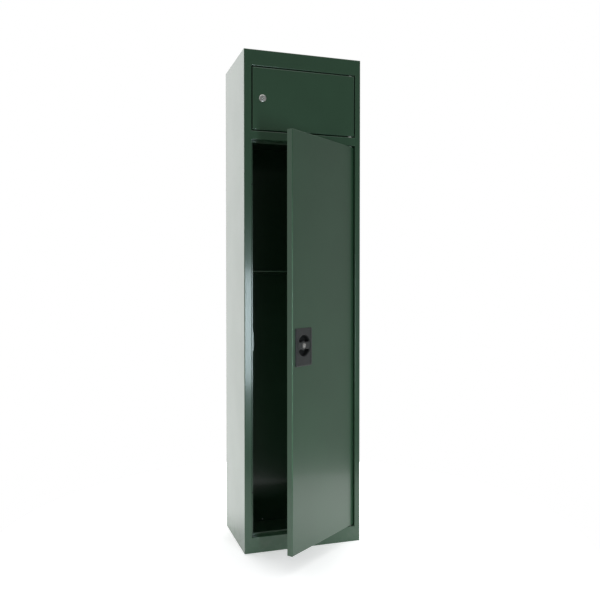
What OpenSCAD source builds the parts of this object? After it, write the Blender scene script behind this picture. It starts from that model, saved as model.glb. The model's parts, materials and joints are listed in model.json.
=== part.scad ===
// Free-standing steel parcel drop box with a small upper and a tall lower compartment.
// X runs to the right, Y into the depth, Z up. The origin is the centre of the underside.
// The upper door is drawn shut and the lower door ajar, both hinged at the right.

/* [Carcass] */
// Outside width
box_w = 370; // [340:1:460]
// Outside depth
box_d = 265; // [230:1:340]
// Outside height
box_h = 1500; // [1400:5:1800]
// Thickness of the sheet steel
sheet = 1.2; // [1:0.1:1.5]
// Outside radius of the folds
fold_r = 2.2; // [2:0.1:3]
// Width of the stile beside the locks
lock_stile_w = 23; // [21:0.5:32]
// Width of the stile beside the hinges
hinge_stile_w = 17.5; // [16:0.5:30]
// Height of the top rail
top_rail_h = 48; // [40:1:70]
// Height of the rail between the doors
mid_rail_h = 26; // [24:1:40]
// Height of the bottom rail
bottom_rail_h = 48; // [40:1:70]
// Height of the upper door opening
upper_opening_h = 191; // [150:1:260]
// Width of the stop flange behind the doors' free edges
stop_w = 7; // [6:0.5:12]
// Width of the flanges that hold the back panel
rear_flange_w = 16; // [14:1:24]

/* [Shelf] */
// Height of the shelf's upper face
shelf_z = 846.5; // [500:0.5:1000]
// Distance from the front of the box to the shelf's front edge
shelf_setback = 38; // [36:1:90]
// Height of the shelf's turned-down flanges
shelf_flange_h = 15; // [12:1:25]

/* [Doors] */
// Depth of both door pans
door_d = 18; // [17:0.5:22]
// Gap all round a door
door_gap = 3; // [2.6:0.1:4]
// Width of the lips round the open back of a door pan
door_lip_w = 17; // [16:0.5:17]
// Angle at which the lower door stands ajar
lower_door_ajar = 36.5; // [0:0.5:70]
// Distance from the doors' hinged edge to the pivots
pivot_inset = 11.5; // [11:0.5:14]
// Distance from the front of the box to the pivots
pivot_depth = 8; // [7.5:0.5:9]

/* [Hinge pins] */
// Radius of the hinge pins
pin_r = 3; // [2.5:0.25:3.5]
// Length of the hinge bushes inside the door
bush_len = 8; // [6:0.5:12]
// Thickness of the reinforcement under each hinge pin
hinge_plate_t = 3; // [2:0.5:4]

/* [Upper lock] */
// Distance from the door's free edge to the lock's axis
upper_lock_inset = 30.5; // [26:0.5:40]
// Radius of the lock's threaded barrel
lock_barrel_r = 9.4; // [8.5:0.1:10]
// Radius of the lock's face
lock_face_r = 10.8; // [10.5:0.1:13]
// Length of the lock's cam beyond its axis
lock_cam_l = 36; // [34:0.5:42]

/* [Handle] */
// Height of the handle's axis above the floor
handle_z = 633.5; // [560:0.5:700]
// Distance from the door's free edge to the handle's axis
handle_inset = 52; // [52:0.5:70]
// Width of the handle plate
plate_w = 79; // [76:0.5:90]
// Height of the handle plate above the axis
plate_up = 49.5; // [42:0.5:60]
// Height of the handle plate below the axis
plate_down = 57.5; // [42:0.5:60]
// How far the handle plate stands out from the door
plate_proud = 2.5; // [2:0.1:4]
// Radius of the round dish
dish_r = 30; // [28:0.5:30.5]
// Depth of the dish floor behind the door's face
dish_depth = 13; // [12:0.5:14]
// Height of the grip bar
grip_h = 19; // [18.5:0.5:24]
// Radius of the key cylinder
cylinder_r = 8; // [7:0.5:8.5]
// Length of the side cam beyond the handle's axis
side_cam_l = 58; // [55:0.5:62]

/* [Rod drive] */
// Module of the drive pinion
gear_module = 1.5; // [1.25:0.25:1.5]
// Width of each latch rod
rod_w = 10; // [8:0.5:12]
// Thickness of each latch rod
rod_t = 4; // [3:0.5:5]

/* [Wall and floor fixing] */
// Distance between the wall holes across the back
wall_hole_dx = 220; // [160:5:260]
// Distance between the wall holes up the back
wall_hole_dz = 1100; // [800:10:1200]
// Height of the lower wall holes
wall_hole_z = 200; // [120:5:280]
// Radius of the wall holes
wall_hole_r = 4.5; // [3:0.25:6]
// Distance between the floor holes across the base
floor_hole_dx = 240; // [160:5:260]
// Distance between the floor holes along the depth
floor_hole_dy = 130; // [90:5:150]
// Radius of the floor holes
floor_hole_r = 5.5; // [3:0.25:7]

/* [Hidden] */
$fn = 48;
tiny = 0.01;

// Radial play of everything that turns, and the play of a sliding or seated piece
turn_play = 0.05;
slide_play = 0.2;

// Carcass levels and faces
front = -box_d / 2;
rear = box_d / 2;
lower_z0 = bottom_rail_h;
upper_z1 = box_h - top_rail_h;
upper_z0 = upper_z1 - upper_opening_h;
lower_z1 = upper_z0 - mid_rail_h;
open_x0 = -box_w / 2 + lock_stile_w;
open_x1 = box_w / 2 - hinge_stile_w;
inner_x = box_w / 2 - sheet;
stop_air = 1;
stop_y = front + door_d + stop_air;
stop_back = stop_y + sheet;
back_y = rear - 2 * sheet;
seam_setback = 2;

// Heights of the buffers on the lock side's stop flange, and their head, shank and tail
buffer_zs = [lower_z0 + 130, lower_z1 - 130, upper_z0 + 45, upper_z1 - 45];
buffer_x = open_x0 + stop_w / 2 + 0.6;
buffer_head_r = 2.7;
buffer_head_t = 0.6;
buffer_hole_r = 1.5;
buffer_tail_r = 2.2;
buffer_tail_l = 1.5;

// Rivets through the back panel, up the side flanges and along the end flanges
rivet_count = 7;
rivet_margin = 60;
rivet_r = 2;
rivet_head_r = 3.3;
rivet_head_t = 1.1;
rivet_tail_r = 2.8;
rivet_tail_l = 2;
rivet_inset = (rear_flange_w + sheet) / 2;
rivet_x = box_w / 2 - rivet_inset;
rivet_step = (box_h - 2 * rivet_margin) / (rivet_count - 1);
rivet_spots = concat(
  [for (i = [0:rivet_count - 1], x = [-rivet_x, rivet_x]) [x, rivet_margin + i * rivet_step]],
  [for (z = [rivet_inset, box_h - rivet_inset], x = [-box_w / 6, box_w / 6]) [x, z]]);

// Shelf: its front hem, the setbacks of its side flanges, and the angles that carry it
shelf_hem_l = 9;
shelf_hem_t = 3.2;
shelf_hem_r = 1.5;
shelf_air = 1;
shelf_side_setback = 12;
shelf_side_air = 4;
support_leg = 14;
support_t = 1.5;
support_setback = 14;
support_air = 8;

// Doors
door_x0 = open_x0 + door_gap;
door_x1 = open_x1 - door_gap;
door_w = door_x1 - door_x0;
pivot = [door_x1 - pivot_inset, front + pivot_depth];
// The rails' stop flanges end where the door's rear corner sweeps past them
corner_reach = norm([pivot_inset, door_d - pivot_depth]);
stop_x1 = pivot[0] - sqrt(corner_reach ^ 2 - (door_d + stop_air - pivot_depth) ^ 2) - 1.5;
bush_r = pin_r + 1.5;
collar_r = pin_r + 3;
collar_t = 1;
washer_t = door_gap - collar_t - turn_play;
pin_head_t = 2;
pin_head_r = pin_r + 2;
// Hinge plates: their reach to each side of the pin, and their half depth behind the rail's fold
hinge_plate_x = [-13, 11];
hinge_plate_y = pivot_depth - fold_r - 0.3;
// Hinge stations as height, and +1 where the pin points up or -1 where it points down
lower_stations = [[lower_z0, 1], [lower_z1, -1]];
upper_stations = [[upper_z0, 1], [upper_z1, -1]];

// Upper lock
upper_lock_x = door_x0 + upper_lock_inset;
upper_lock_z = (upper_z0 + upper_z1) / 2 + 1;
lock_plug_r = 6;
lock_face_t = 2.5;
lock_nut_t = 4;
lock_cam_t = 2;
lock_cam_w = 15;
lock_cam_y = door_d + stop_air + sheet + 1;
lock_rim = 0.8;
lock_nut_rim = 4;
lock_washer_r = 5.5;
lock_washer_t = 0.8;
lock_screw_r = 2;
lock_tenon = 7;
keyway_w = 1.8;
keyway_h = 7;
keyway_l = 11;

// Handle set, with depths counted from the door's front face
handle_x = door_x0 + handle_inset;
plate_r = 5;
dish_wall = 2;
dish_back = dish_depth + dish_wall;
boss_x = plate_w / 2 - 7;
boss_up = plate_up - 7.5;
boss_down = plate_down - 7.5;
boss_r = 4;
plate_screw_r = 1.5;
plate_screw_head_r = 6;
plate_screw_head_t = 2;
plate_skin = 1;
grip_air = 1.2;
grip_depth = 9.5;
hub_r = 13;
journal_r = 9;
cylinder_l = 13.5;
cylinder_proud = 0.8;
key_plug_r = 5.5;
plug_setback = 0.3;
spindle_w = 8;
spindle_y0 = 12;
cylinder_back = spindle_y0 - 1.2;

// Lock case and rod drive
rod_y = door_d + stop_air + sheet + 0.7;
rod_air = 2.5;
bracket_t = 1.5;
bracket_w = 2 * (dish_r + dish_wall + 0.5 + bracket_t);
bracket_h = 66;
case_wall = 1.5;
case_h = 70;
case_y = rod_y - rod_air - case_wall;
case_back = rod_y + rod_t + rod_air;
bracket_y = case_y - bracket_t;
case_end = case_back + case_wall;
bracket_foot = 10;
case_screw_r = 1.75;
case_screw_head_r = 3.3;
case_screw_head_t = 2;
gear_teeth = 14;
pressure = 25;
pitch_r = gear_module * gear_teeth / 2;
base_r = pitch_r * cos(pressure);
tip_r = pitch_r + 0.9 * gear_module;
root_r = pitch_r - 1.2 * gear_module;
tooth_pitch = PI * gear_module;
backlash = 0.2;
tooth_tip_x = pitch_r - 0.9 * gear_module;
tooth_root_x = pitch_r + 1.2 * gear_module;
case_w = 2 * (tooth_root_x + rod_w + 1 + case_wall);
ear_w = 9;
pinion_hub_r = 7;
cam_air = 0.5;
cam_eye_rim = 2;
cam_corner_r = 3;
cam_washer_r = 7;
cam_washer_t = 1;
cam_hex_r = 5.2;
cam_hex_t = 3.5;
side_cam_y = case_end + cam_air;
side_cam_t = 3;
side_cam_w = 18;
keeper_air = 1;
keeper_t = 2;
keeper_h = 56;
keeper_leg = 24;
keeper_past = 4;
rod_end_air = 1.5;
rod_top = lower_z1 - stop_w - rod_end_air;
rod_bottom = lower_z0 + stop_w + rod_end_air;
rod_x = tooth_root_x + rod_w / 2;
guide_h = 10;
guide_w = 36;
guide_base = 1.5;
guide_arch = 2;
guide_screw_x = 13;
guide_screw_r = 2;
guide_screw_l = 5;
guide_screw_head_r = 3.5;
guide_screw_head_t = 2.2;

// Stiffener: half widths of its crown and feet, and its setback from the door's ends
stiffener_x = (door_x0 + door_x1) / 2 + 20;
stiffener_crown = 25;
stiffener_foot = 37;
stiffener_end = 12;

paint = [0.17, 0.24, 0.19];
plastic = [0.13, 0.14, 0.14];
nickel = [0.72, 0.72, 0.7];
zinc = [0.62, 0.64, 0.66];
nylon = [0.88, 0.87, 0.83];
rubber = [0.08, 0.08, 0.08];

// ---- Shared shapes ----

// A flat shape drawn in X and Z, standing from depth a to depth b
module slab(a, b) {
  translate([0, b, 0]) rotate([90, 0, 0]) linear_extrude(b - a) children();
}

// A round bar along the depth
module bar(a, b, r) {
  slab(a, b) circle(r = r);
}

// A rectangle with round corners, from its low to its high corner
module round_rect(low, high, r) {
  translate([low[0] + r, low[1]]) square([high[0] - low[0] - 2 * r, high[1] - low[1]]);
  translate([low[0], low[1] + r]) square([high[0] - low[0], high[1] - low[1] - 2 * r]);
  for (x = [low[0] + r, high[0] - r], y = [low[1] + r, high[1] - r])
    translate([x, y]) circle(r = r);
}

function unit(a) = [cos(a), sin(a)];
function heading(p, q) = atan2(q[1] - p[1], q[0] - p[0]);
function wrap(a) = a > 180 ? a - 360 : a < -180 ? a + 360 : a;

// One face of the fold at point i of a path: k is 0 on the drawn face and 1 on the other
function fold_arc(path, i, r, k) =
  let (
    h = heading(path[i - 1], path[i]),
    t = wrap(heading(path[i], path[i + 1]) - h),
    s = t < 0 ? 1 : -1,
    near = t < 0 ? r : r - sheet,
    far = t < 0 ? r - sheet : r,
    c = path[i] - near * tan(abs(t) / 2) * unit(h) - s * near * unit(h + 90),
    steps = 6
  )
  [for (n = [0:steps]) c + (k == 0 ? near : far) * unit(h + s * 90 + t * n / steps)];

// Outline of folded sheet steel: path is one face, and the sheet lies to the right of it
function folded_outline(path, r) =
  let (
    n = len(path) - 1,
    start_side = unit(heading(path[0], path[1]) - 90),
    end_side = unit(heading(path[n - 1], path[n]) - 90),
    drawn = [for (i = [1:n - 1]) each fold_arc(path, i, r, 0)],
    other = [for (i = [n - 1:-1:1]) let (a = fold_arc(path, i, r, 1)) each [for (j = [len(a) - 1:-1:0]) a[j]]]
  )
  concat([path[0]], drawn, [path[n], path[n] + sheet * end_side], other, [path[0] + sheet * start_side]);

// Folded sheet whose outline is drawn in X and Y
module upright_sheet(path, z0, z1, r = fold_r) {
  translate([0, 0, z0]) linear_extrude(z1 - z0) polygon(folded_outline(path, r));
}

// Folded sheet whose outline is drawn in Y and Z
module level_sheet(path, x0, x1, r = fold_r) {
  translate([x0, 0, 0]) rotate([90, 0, 90]) linear_extrude(x1 - x0) polygon(folded_outline(path, r));
}

// Turns what is fixed to the lower door about its pivots
module on_lower_door() {
  translate(pivot) rotate([0, 0, lower_door_ajar]) translate(-pivot) children();
}

// Puts what is drawn about the handle's axis in its place
module at_handle() {
  on_lower_door() translate([handle_x, front, handle_z]) children();
}

module at_upper_lock() {
  translate([upper_lock_x, front, upper_lock_z]) children();
}

// Stands children on each hinge station
module at_stations(stations) {
  for (s = stations)
    translate([pivot[0], pivot[1], s[0]]) rotate([s[1] > 0 ? 0 : 180, 0, 0]) children();
}

// A pan head screw along the depth, its head resting on depth y and its tip at depth tip
module pan_screw(y, tip, r, head_r, head_t) {
  difference() {
    bar(y, y + head_t, head_r);
    slab(y + head_t * 0.5, y + head_t + tiny) square([head_r * 1.2, head_r * 0.26], center = true);
    slab(y + head_t * 0.5, y + head_t + tiny) square([head_r * 0.26, head_r * 1.2], center = true);
  }
  bar(tip, y, r);
}

// ---- Carcass ----

// The square front corners that join a stile flush with the rails
module stile_welds(stile_w) {
  for (z = [[fold_r, lower_z0 - fold_r], [lower_z1 + fold_r, upper_z0 - fold_r],
            [upper_z1 + fold_r, box_h - fold_r]])
    translate([-box_w / 2 + stile_w - fold_r, front, z[0]]) cube([fold_r, sheet, z[1] - z[0]]);
}

// The box's outer form, its front edges rounded as the folds are
module envelope() {
  round_front_block(-box_w / 2, box_w / 2, front, rear, 0, box_h, fold_r);
}

// The flat sheet of the top or the base, lying inside the front faces and the rear flanges
module end_sheet(z) {
  translate([-inner_x, front + sheet, z]) cube([2 * inner_x, box_d - 2 * sheet, sheet]);
}

// The side, its stile, and on the lock side a stop flange between the rails' own
module side_panel(stile_w, stop) {
  left = -box_w / 2;
  stile = left + stile_w;
  stop_path = stop ? [[stile + stop_w, stop_y], [stile, stop_y]] : [[stile, stop_back]];
  intersection() {
    difference() {
      union() {
        upright_sheet(concat(stop_path, [[stile, front], [left, front], [left, rear],
          [left + rear_flange_w, rear]]), 0, box_h);
        stile_welds(stile_w);
      }
      end_sheet(0);
      end_sheet(box_h - sheet);
      for (z = [[-1, lower_z0 + stop_w], [lower_z1 - stop_w, upper_z0], [upper_z1 - stop_w, box_h + 1]])
        translate([stile, front + door_d - fold_r, z[0]])
          cube([stop_w + 1, stop_air + sheet + fold_r + 1, z[1] - z[0]]);
    }
    envelope();
  }
}

module rivet_holes() {
  for (p = rivet_spots)
    translate([p[0], 0, p[1]]) bar(back_y - tiny, rear + tiny, rivet_r);
}

// All that lies in front of the seam where a stile's corner is welded to its side
module before_seam() {
  translate([-box_w, front - 1, -1]) cube([2 * box_w, fold_r + seam_setback + 1, box_h + 2]);
}

// The side and its rear flange, behind the seam
module side_behind_seam(stile_w, stop) {
  difference() {
    side_panel(stile_w, stop);
    before_seam();
    stile_return(stile_w);
    rivet_holes();
  }
}

// The return behind a stile, and what is folded from it
module stile_return(stile_w) {
  translate([-box_w / 2 + stile_w / 2, front, -1]) cube([box_w / 2, box_d / 2, box_h + 2]);
}

// The folded corner, the stile and its return
module stile(stile_w, stop) {
  intersection() {
    side_panel(stile_w, stop);
    union() {
      before_seam();
      stile_return(stile_w);
    }
  }
}

module left_side_panel() color(paint) side_behind_seam(lock_stile_w, true);

module right_side_panel() color(paint) mirror([1, 0, 0]) side_behind_seam(hinge_stile_w, false);

module left_stile() color(paint)
  difference() {
    stile(lock_stile_w, true);
    for (z = buffer_zs)
      translate([buffer_x, 0, z]) bar(stop_y - 1, stop_back + 1, buffer_hole_r);
  }

module right_stile() color(paint) mirror([1, 0, 0]) stile(hinge_stile_w, false);

// A rail from z0 to z1 with its return, a stop flange clear of the hinges, and a floor at z1
// that runs back to depth back and turns down there by drop
module rail_sheet(z0, z1, back, drop) {
  face = concat([[front, z0], [front, z1], [back, z1]], drop > 0 ? [[back, z1 - drop]] : []);
  level_sheet(concat([[stop_y, z0 - stop_w], [stop_y, z0]], face), open_x0, stop_x1);
  level_sheet(concat([[stop_back, z0]], face), stop_x1, open_x1);
}

// A hinge pin's hole through the sheet at station s
module pin_hole(s) {
  translate([pivot[0], pivot[1], s[0]]) cylinder(h = 4 * sheet, r = pin_r, center = true);
}

module top_panel() color(paint)
  difference() {
    union() {
      rail_sheet(upper_z1, box_h, rear, rear_flange_w);
      intersection() {
        end_sheet(box_h - sheet);
        envelope();
      }
    }
    pin_hole(upper_stations[1]);
    rivet_holes();
  }

module divider_panel() color(paint)
  difference() {
    union() {
      rail_sheet(lower_z1, upper_z0, back_y, 0);
      translate([-inner_x, stop_back + 1, upper_z0 - sheet])
        cube([2 * inner_x, back_y - stop_back - 1, sheet]);
    }
    pin_hole(lower_stations[1]);
    pin_hole(upper_stations[0]);
  }

module base_panel() color(paint)
  difference() {
    union() {
      mirror([0, 0, 1]) rail_sheet(-lower_z0, 0, rear, rear_flange_w);
      intersection() {
        end_sheet(0);
        envelope();
      }
    }
    pin_hole(lower_stations[0]);
    for (x = [-1, 1], y = [-1, 1])
      translate([x * floor_hole_dx / 2, y * floor_hole_dy / 2, sheet / 2])
        cylinder(h = 2 * sheet, r = floor_hole_r, center = true);
    rivet_holes();
  }

module back_panel() color(paint)
  difference() {
    translate([-box_w / 2 + fold_r, back_y, fold_r])
      cube([box_w - 2 * fold_r, sheet, box_h - 2 * fold_r]);
    for (x = [-1, 1], z = [0, 1])
      translate([x * wall_hole_dx / 2, 0, wall_hole_z + z * wall_hole_dz])
        bar(back_y - 1, rear + 1, wall_hole_r);
    rivet_holes();
  }

module back_rivets() color(zinc)
  for (p = rivet_spots)
    translate([p[0], 0, p[1]]) {
      bar(back_y - rivet_tail_l, back_y, rivet_tail_r);
      bar(back_y, rear, rivet_r);
      bar(rear, rear + rivet_head_t, rivet_head_r);
    }

// Reinforcements welded behind each hinge station
module hinge_plates() color(paint)
  at_stations(concat(lower_stations, upper_stations))
    difference() {
      translate([hinge_plate_x[0], -hinge_plate_y, -sheet - hinge_plate_t])
        cube([hinge_plate_x[1] - hinge_plate_x[0], 2 * hinge_plate_y, hinge_plate_t]);
      translate([0, 0, -sheet - hinge_plate_t - 1]) cylinder(h = hinge_plate_t + 2, r = pin_r);
    }

// A headed pin through a rail and its reinforcement, standing proud of the rail
module hinge_pin() {
  seat = -sheet - hinge_plate_t;
  translate([0, 0, seat - pin_head_t]) cylinder(h = pin_head_t, r = pin_head_r);
  translate([0, 0, seat]) cylinder(h = door_gap + bush_len - seat, r = pin_r);
}

module upper_hinge_pins() color(zinc) at_stations(upper_stations) hinge_pin();

module lower_hinge_pins() color(zinc) at_stations(lower_stations) hinge_pin();

// Washers on the two lower pins, which carry the doors
module thrust_washers() color(nickel)
  for (s = [lower_stations[0], upper_stations[0]])
    translate([pivot[0], pivot[1], s[0]])
      difference() {
        cylinder(h = washer_t, r = collar_r);
        translate([0, 0, -1]) cylinder(h = washer_t + 2, r = pin_r);
      }

module stop_buffers() color(rubber)
  for (z = buffer_zs)
    translate([buffer_x, 0, z]) {
      bar(stop_y - buffer_head_t, stop_y, buffer_head_r);
      bar(stop_y, stop_back, buffer_hole_r);
      bar(stop_back, stop_back + buffer_tail_l, buffer_tail_r);
    }

// Angle welded to the side that the side cam turns behind
module cam_keeper() color(paint) {
  keeper_back = front + side_cam_y - keeper_air;
  keeper_z = handle_z - keeper_h / 2;
  translate([-inner_x, keeper_back - keeper_t, keeper_z])
    cube([lock_stile_w + stop_w + keeper_past, keeper_t, keeper_h]);
  translate([-inner_x, keeper_back, keeper_z]) cube([keeper_t, keeper_leg, keeper_h]);
}

module shelf() color(paint) {
  nose = front + shelf_setback;
  end = back_y - shelf_air;
  half = inner_x - shelf_air;
  hem_z = shelf_z - shelf_hem_t;
  level_sheet([[nose + shelf_hem_l, hem_z], [nose, hem_z], [nose, shelf_z], [end, shelf_z],
    [end, shelf_z - shelf_flange_h]], -half, half, shelf_hem_r);
  for (x = [-half, half - sheet])
    translate([x, nose + shelf_side_setback, shelf_z - shelf_flange_h])
      cube([sheet, end - nose - shelf_side_setback - shelf_side_air, shelf_flange_h - sheet]);
}

module shelf_supports() color(paint) {
  z = shelf_z - shelf_flange_h - support_t;
  y = front + shelf_setback + support_setback;
  length = back_y - y - support_air;
  for (m = [0, 1])
    mirror([m, 0, 0]) {
      translate([-inner_x, y, z]) cube([support_leg, length, support_t]);
      translate([-inner_x, y, z - support_leg]) cube([support_t, length, support_leg]);
    }
}

// ---- Doors ----

// Block with its vertical and level front edges rounded
module round_front_block(x0, x1, y0, y1, z0, z1, r) {
  intersection() {
    translate([0, 0, z0]) linear_extrude(z1 - z0)
      union() {
        round_rect([x0, y0], [x1, y1], r);
        translate([x0, y0 + r]) square([x1 - x0, y1 - y0 - r]);
      }
    translate([x0, 0, 0]) rotate([90, 0, 90]) linear_extrude(x1 - x0)
      union() {
        round_rect([y0, z0], [y1, z1], r);
        translate([y0 + r, z0]) square([y1 - y0 - r, z1 - z0]);
      }
  }
}

// A folded steel tray, open at the back, with a lip all round the opening
module door_pan(z0, z1) {
  y1 = front + door_d;
  difference() {
    round_front_block(door_x0, door_x1, front, y1, z0, z1, fold_r);
    round_front_block(door_x0 + sheet, door_x1 - sheet, front + sheet, y1 - sheet,
      z0 + sheet, z1 - sheet, fold_r - sheet);
    translate([door_x0 + door_lip_w, y1 - 2 * sheet, z0 + door_lip_w])
      cube([door_w - 2 * door_lip_w, 4 * sheet, z1 - z0 - 2 * door_lip_w]);
    for (z = [z0, z1])
      translate([pivot[0], pivot[1], z]) cylinder(h = 4 * sheet, r = bush_r, center = true);
  }
}

// A flanged bush in the door's end, its collar in the gap
module hinge_bush() {
  translate([0, 0, door_gap - collar_t])
    difference() {
      union() {
        cylinder(h = collar_t, r = collar_r);
        cylinder(h = collar_t + bush_len - 0.5, r = bush_r);
      }
      translate([0, 0, -1]) cylinder(h = bush_len + 3, r = pin_r + turn_play);
    }
}

module upper_door_bushes() color(nylon) at_stations(upper_stations) hinge_bush();

module lower_door_bushes() color(nylon) on_lower_door() at_stations(lower_stations) hinge_bush();

module upper_door_pan() color(paint)
  difference() {
    door_pan(upper_z0 + door_gap, upper_z1 - door_gap);
    at_upper_lock() bar(-1, 2 * sheet, lock_barrel_r);
  }

module lower_door_pan() color(paint)
  on_lower_door()
    difference() {
      door_pan(lower_z0 + door_gap, lower_z1 - door_gap);
      translate([handle_x, front, handle_z]) {
        bar(-1, 2 * sheet, dish_r + dish_wall + slide_play);
        plate_bosses() bar(-1, 2 * sheet, boss_r + slide_play);
      }
      guide_spots() bar(door_d - 2 * sheet, door_d + 1, guide_screw_r);
    }

// Hat channel spot-welded up the middle of the lower door
module lower_door_stiffener() color(paint)
  on_lower_door() {
    y0 = front + sheet;
    y1 = front + door_d - 3 * sheet;
    half = [[stiffener_foot, y0], [stiffener_crown, y0], [stiffener_crown, y1]];
    path = concat(half, [for (i = [2:-1:0]) [-half[i][0], half[i][1]]]);
    upright_sheet([for (p = path) [stiffener_x + p[0], p[1]]],
      lower_z0 + door_gap + stiffener_end, lower_z1 - door_gap - stiffener_end);
  }

// ---- Upper lock ----

module upper_lock_body() color(nickel)
  at_upper_lock()
    difference() {
      union() {
        bar(0, lock_cam_y - 0.4, lock_barrel_r);
        bar(-lock_face_t + lock_rim, 0, lock_face_r);
        bar(-lock_face_t, -lock_face_t + lock_rim + tiny, lock_face_r - lock_rim);
      }
      bar(-lock_face_t - 1, lock_cam_y, lock_plug_r + turn_play);
    }

module upper_lock_nut() color(zinc)
  at_upper_lock()
    difference() {
      slab(sheet, sheet + lock_nut_t) circle(r = lock_barrel_r + lock_nut_rim, $fn = 6);
      bar(0, sheet + lock_nut_t + 1, lock_barrel_r);
    }

// A turning plug with a keyway, and a square tenon for its cam
module plug(face, tail, r, key_l) {
  difference() {
    bar(face, tail, r);
    slab(face - 1, face + key_l) square([keyway_w, keyway_h], center = true);
  }
}

module upper_lock_plug() color(nickel)
  at_upper_lock() {
    plug(-lock_face_t + plug_setback, lock_cam_y, lock_plug_r, keyway_l);
    slab(lock_cam_y - tiny, lock_cam_y + lock_cam_t) square(lock_tenon, center = true);
  }

// A flat cam with a square hole, hanging straight down from its plug
module hanging_cam(y, t, w, l, hole) {
  slab(y, y + t)
    difference() {
      union() {
        circle(r = w / 2 + cam_eye_rim);
        round_rect([-w / 2, -l], [w / 2, 0], cam_corner_r);
      }
      square(hole, center = true);
    }
}

module upper_lock_cam() color(zinc)
  at_upper_lock() hanging_cam(lock_cam_y, lock_cam_t, lock_cam_w, lock_cam_l, lock_tenon);

module upper_cam_screw() color(zinc)
  at_upper_lock() {
    y = lock_cam_y + lock_cam_t;
    bar(y, y + lock_washer_t, lock_washer_r);
    pan_screw(y + lock_washer_t, y, lock_screw_r, 2 * lock_screw_r, lock_screw_r + 0.5);
  }

// ---- Handle set ----

// Children at the four plate bosses
module plate_bosses() {
  for (x = [-boss_x, boss_x], z = [-boss_down, boss_up])
    translate([x, 0, z]) children();
}

module handle_plate() color(plastic)
  at_handle()
    difference() {
      union() {
        slab(-plate_proud, 0) round_rect([-plate_w / 2, -plate_down], [plate_w / 2, plate_up], plate_r);
        bar(-tiny, dish_back, dish_r + dish_wall);
        plate_bosses() bar(-tiny, sheet, boss_r);
      }
      bar(-plate_proud - 1, dish_depth, dish_r);
      bar(dish_depth - 1, dish_back + 1, journal_r + turn_play);
      plate_bosses() bar(-plate_proud + plate_skin, sheet + 1, plate_screw_r);
    }

module plate_screws() color(zinc)
  at_handle() plate_bosses()
    pan_screw(sheet, -plate_proud + plate_skin, plate_screw_r, plate_screw_head_r, plate_screw_head_t);

module turn_handle() color(plastic)
  at_handle()
    difference() {
      union() {
        slab(-plate_proud, grip_depth)
          intersection() {
            circle(r = dish_r - grip_air);
            square([2 * dish_r, grip_h], center = true);
          }
        bar(0, dish_depth - 0.3, hub_r);
        bar(dish_depth - 1, dish_back + 0.2, journal_r);
      }
      bar(-plate_proud - 1, cylinder_l - plate_proud, cylinder_r);
      slab(0, dish_back + 1) square(spindle_w, center = true);
    }

module cylinder_housing() color(nickel)
  at_handle()
    difference() {
      bar(-plate_proud - cylinder_proud, cylinder_back, cylinder_r);
      bar(-plate_proud - cylinder_proud - 1, spindle_y0, key_plug_r + turn_play);
    }

module key_plug() color(nickel)
  at_handle()
    plug(-plate_proud - cylinder_proud + plug_setback, cylinder_back, key_plug_r, keyway_l - 2);

module handle_spindle() color(zinc)
  at_handle() slab(spindle_y0 - 1, side_cam_y + side_cam_t) square(spindle_w, center = true);

module side_cam() color(zinc)
  at_handle() hanging_cam(side_cam_y, side_cam_t, side_cam_w, side_cam_l, spindle_w);

module cam_screw() color(zinc)
  at_handle() {
    y = side_cam_y + side_cam_t;
    bar(y, y + cam_washer_t, cam_washer_r);
    slab(y + cam_washer_t, y + cam_washer_t + cam_hex_t) circle(r = cam_hex_r, $fn = 6);
  }

// ---- Lock case and rods ----

module lock_bracket() color(paint)
  at_handle()
    difference() {
      union() {
        slab(bracket_y, bracket_y + bracket_t) square([bracket_w, bracket_h], center = true);
        for (x = [-1, 1]) {
          translate([x * (bracket_w - bracket_t) / 2, 0, 0])
            slab(sheet, bracket_y) square([bracket_t, bracket_h], center = true);
          translate([x * (bracket_w - bracket_t + bracket_foot) / 2, 0, 0])
            slab(sheet, sheet + bracket_t) square([bracket_foot, bracket_h], center = true);
        }
      }
      bar(bracket_y - 1, bracket_y + bracket_t + 1, journal_r + 2);
      case_ears() bar(bracket_y - 1, bracket_y + bracket_t + 1, case_screw_r);
    }

// Children at the centre of the four ears of the lock case
module case_ears() {
  for (x = [-1, 1], z = [-1, 1])
    translate([x * (case_w + ear_w) / 2, 0, z * (case_h / 2 - ear_w)]) children();
}

module lock_case() color(zinc)
  at_handle()
    difference() {
      union() {
        slab(case_y, case_back) square([case_w, case_h], center = true);
        case_ears() slab(case_y, case_y + case_wall) square([ear_w + 1, 2 * ear_w - 4], center = true);
      }
      slab(case_y + case_wall, case_back + 1)
        square([case_w - 2 * case_wall, case_h - 2 * case_wall], center = true);
      bar(case_y - 1, case_y + case_wall + 1, pinion_hub_r + turn_play);
      case_ears() bar(case_y - 1, case_y + case_wall + 1, case_screw_r);
      translate([-rod_x, 0, case_h / 2]) rod_slot();
      translate([rod_x, 0, -case_h / 2]) rod_slot();
    }

// Cut for a rod through a wall
module rod_slot() {
  translate([-rod_w / 2 - slide_play, rod_y - slide_play, -guide_h])
    cube([rod_w + 2 * slide_play, rod_t + 2 * slide_play, 2 * guide_h]);
}

module lock_case_cover() color(zinc)
  at_handle()
    difference() {
      slab(case_back, case_end) square([case_w, case_h], center = true);
      bar(case_back - 1, case_end + 1, pinion_hub_r + turn_play);
    }

module case_screws() color(zinc)
  at_handle() case_ears()
    pan_screw(case_y + case_wall, bracket_y - 2, case_screw_r, case_screw_head_r, case_screw_head_t);

// Involute angle at radius r, and the half angle that a tooth spans there
function involute(r) = r <= base_r ? 0 : let (a = acos(base_r / r)) tan(a) * 180 / PI - a;
function half_tooth(r) =
  90 / gear_teeth - backlash / 2 / pitch_r * 180 / PI + involute(pitch_r) - involute(r);

flank_steps = 5;
flank_radii = concat([root_r], [for (i = [0:flank_steps]) base_r + (tip_r - base_r) * i / flank_steps]);

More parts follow.
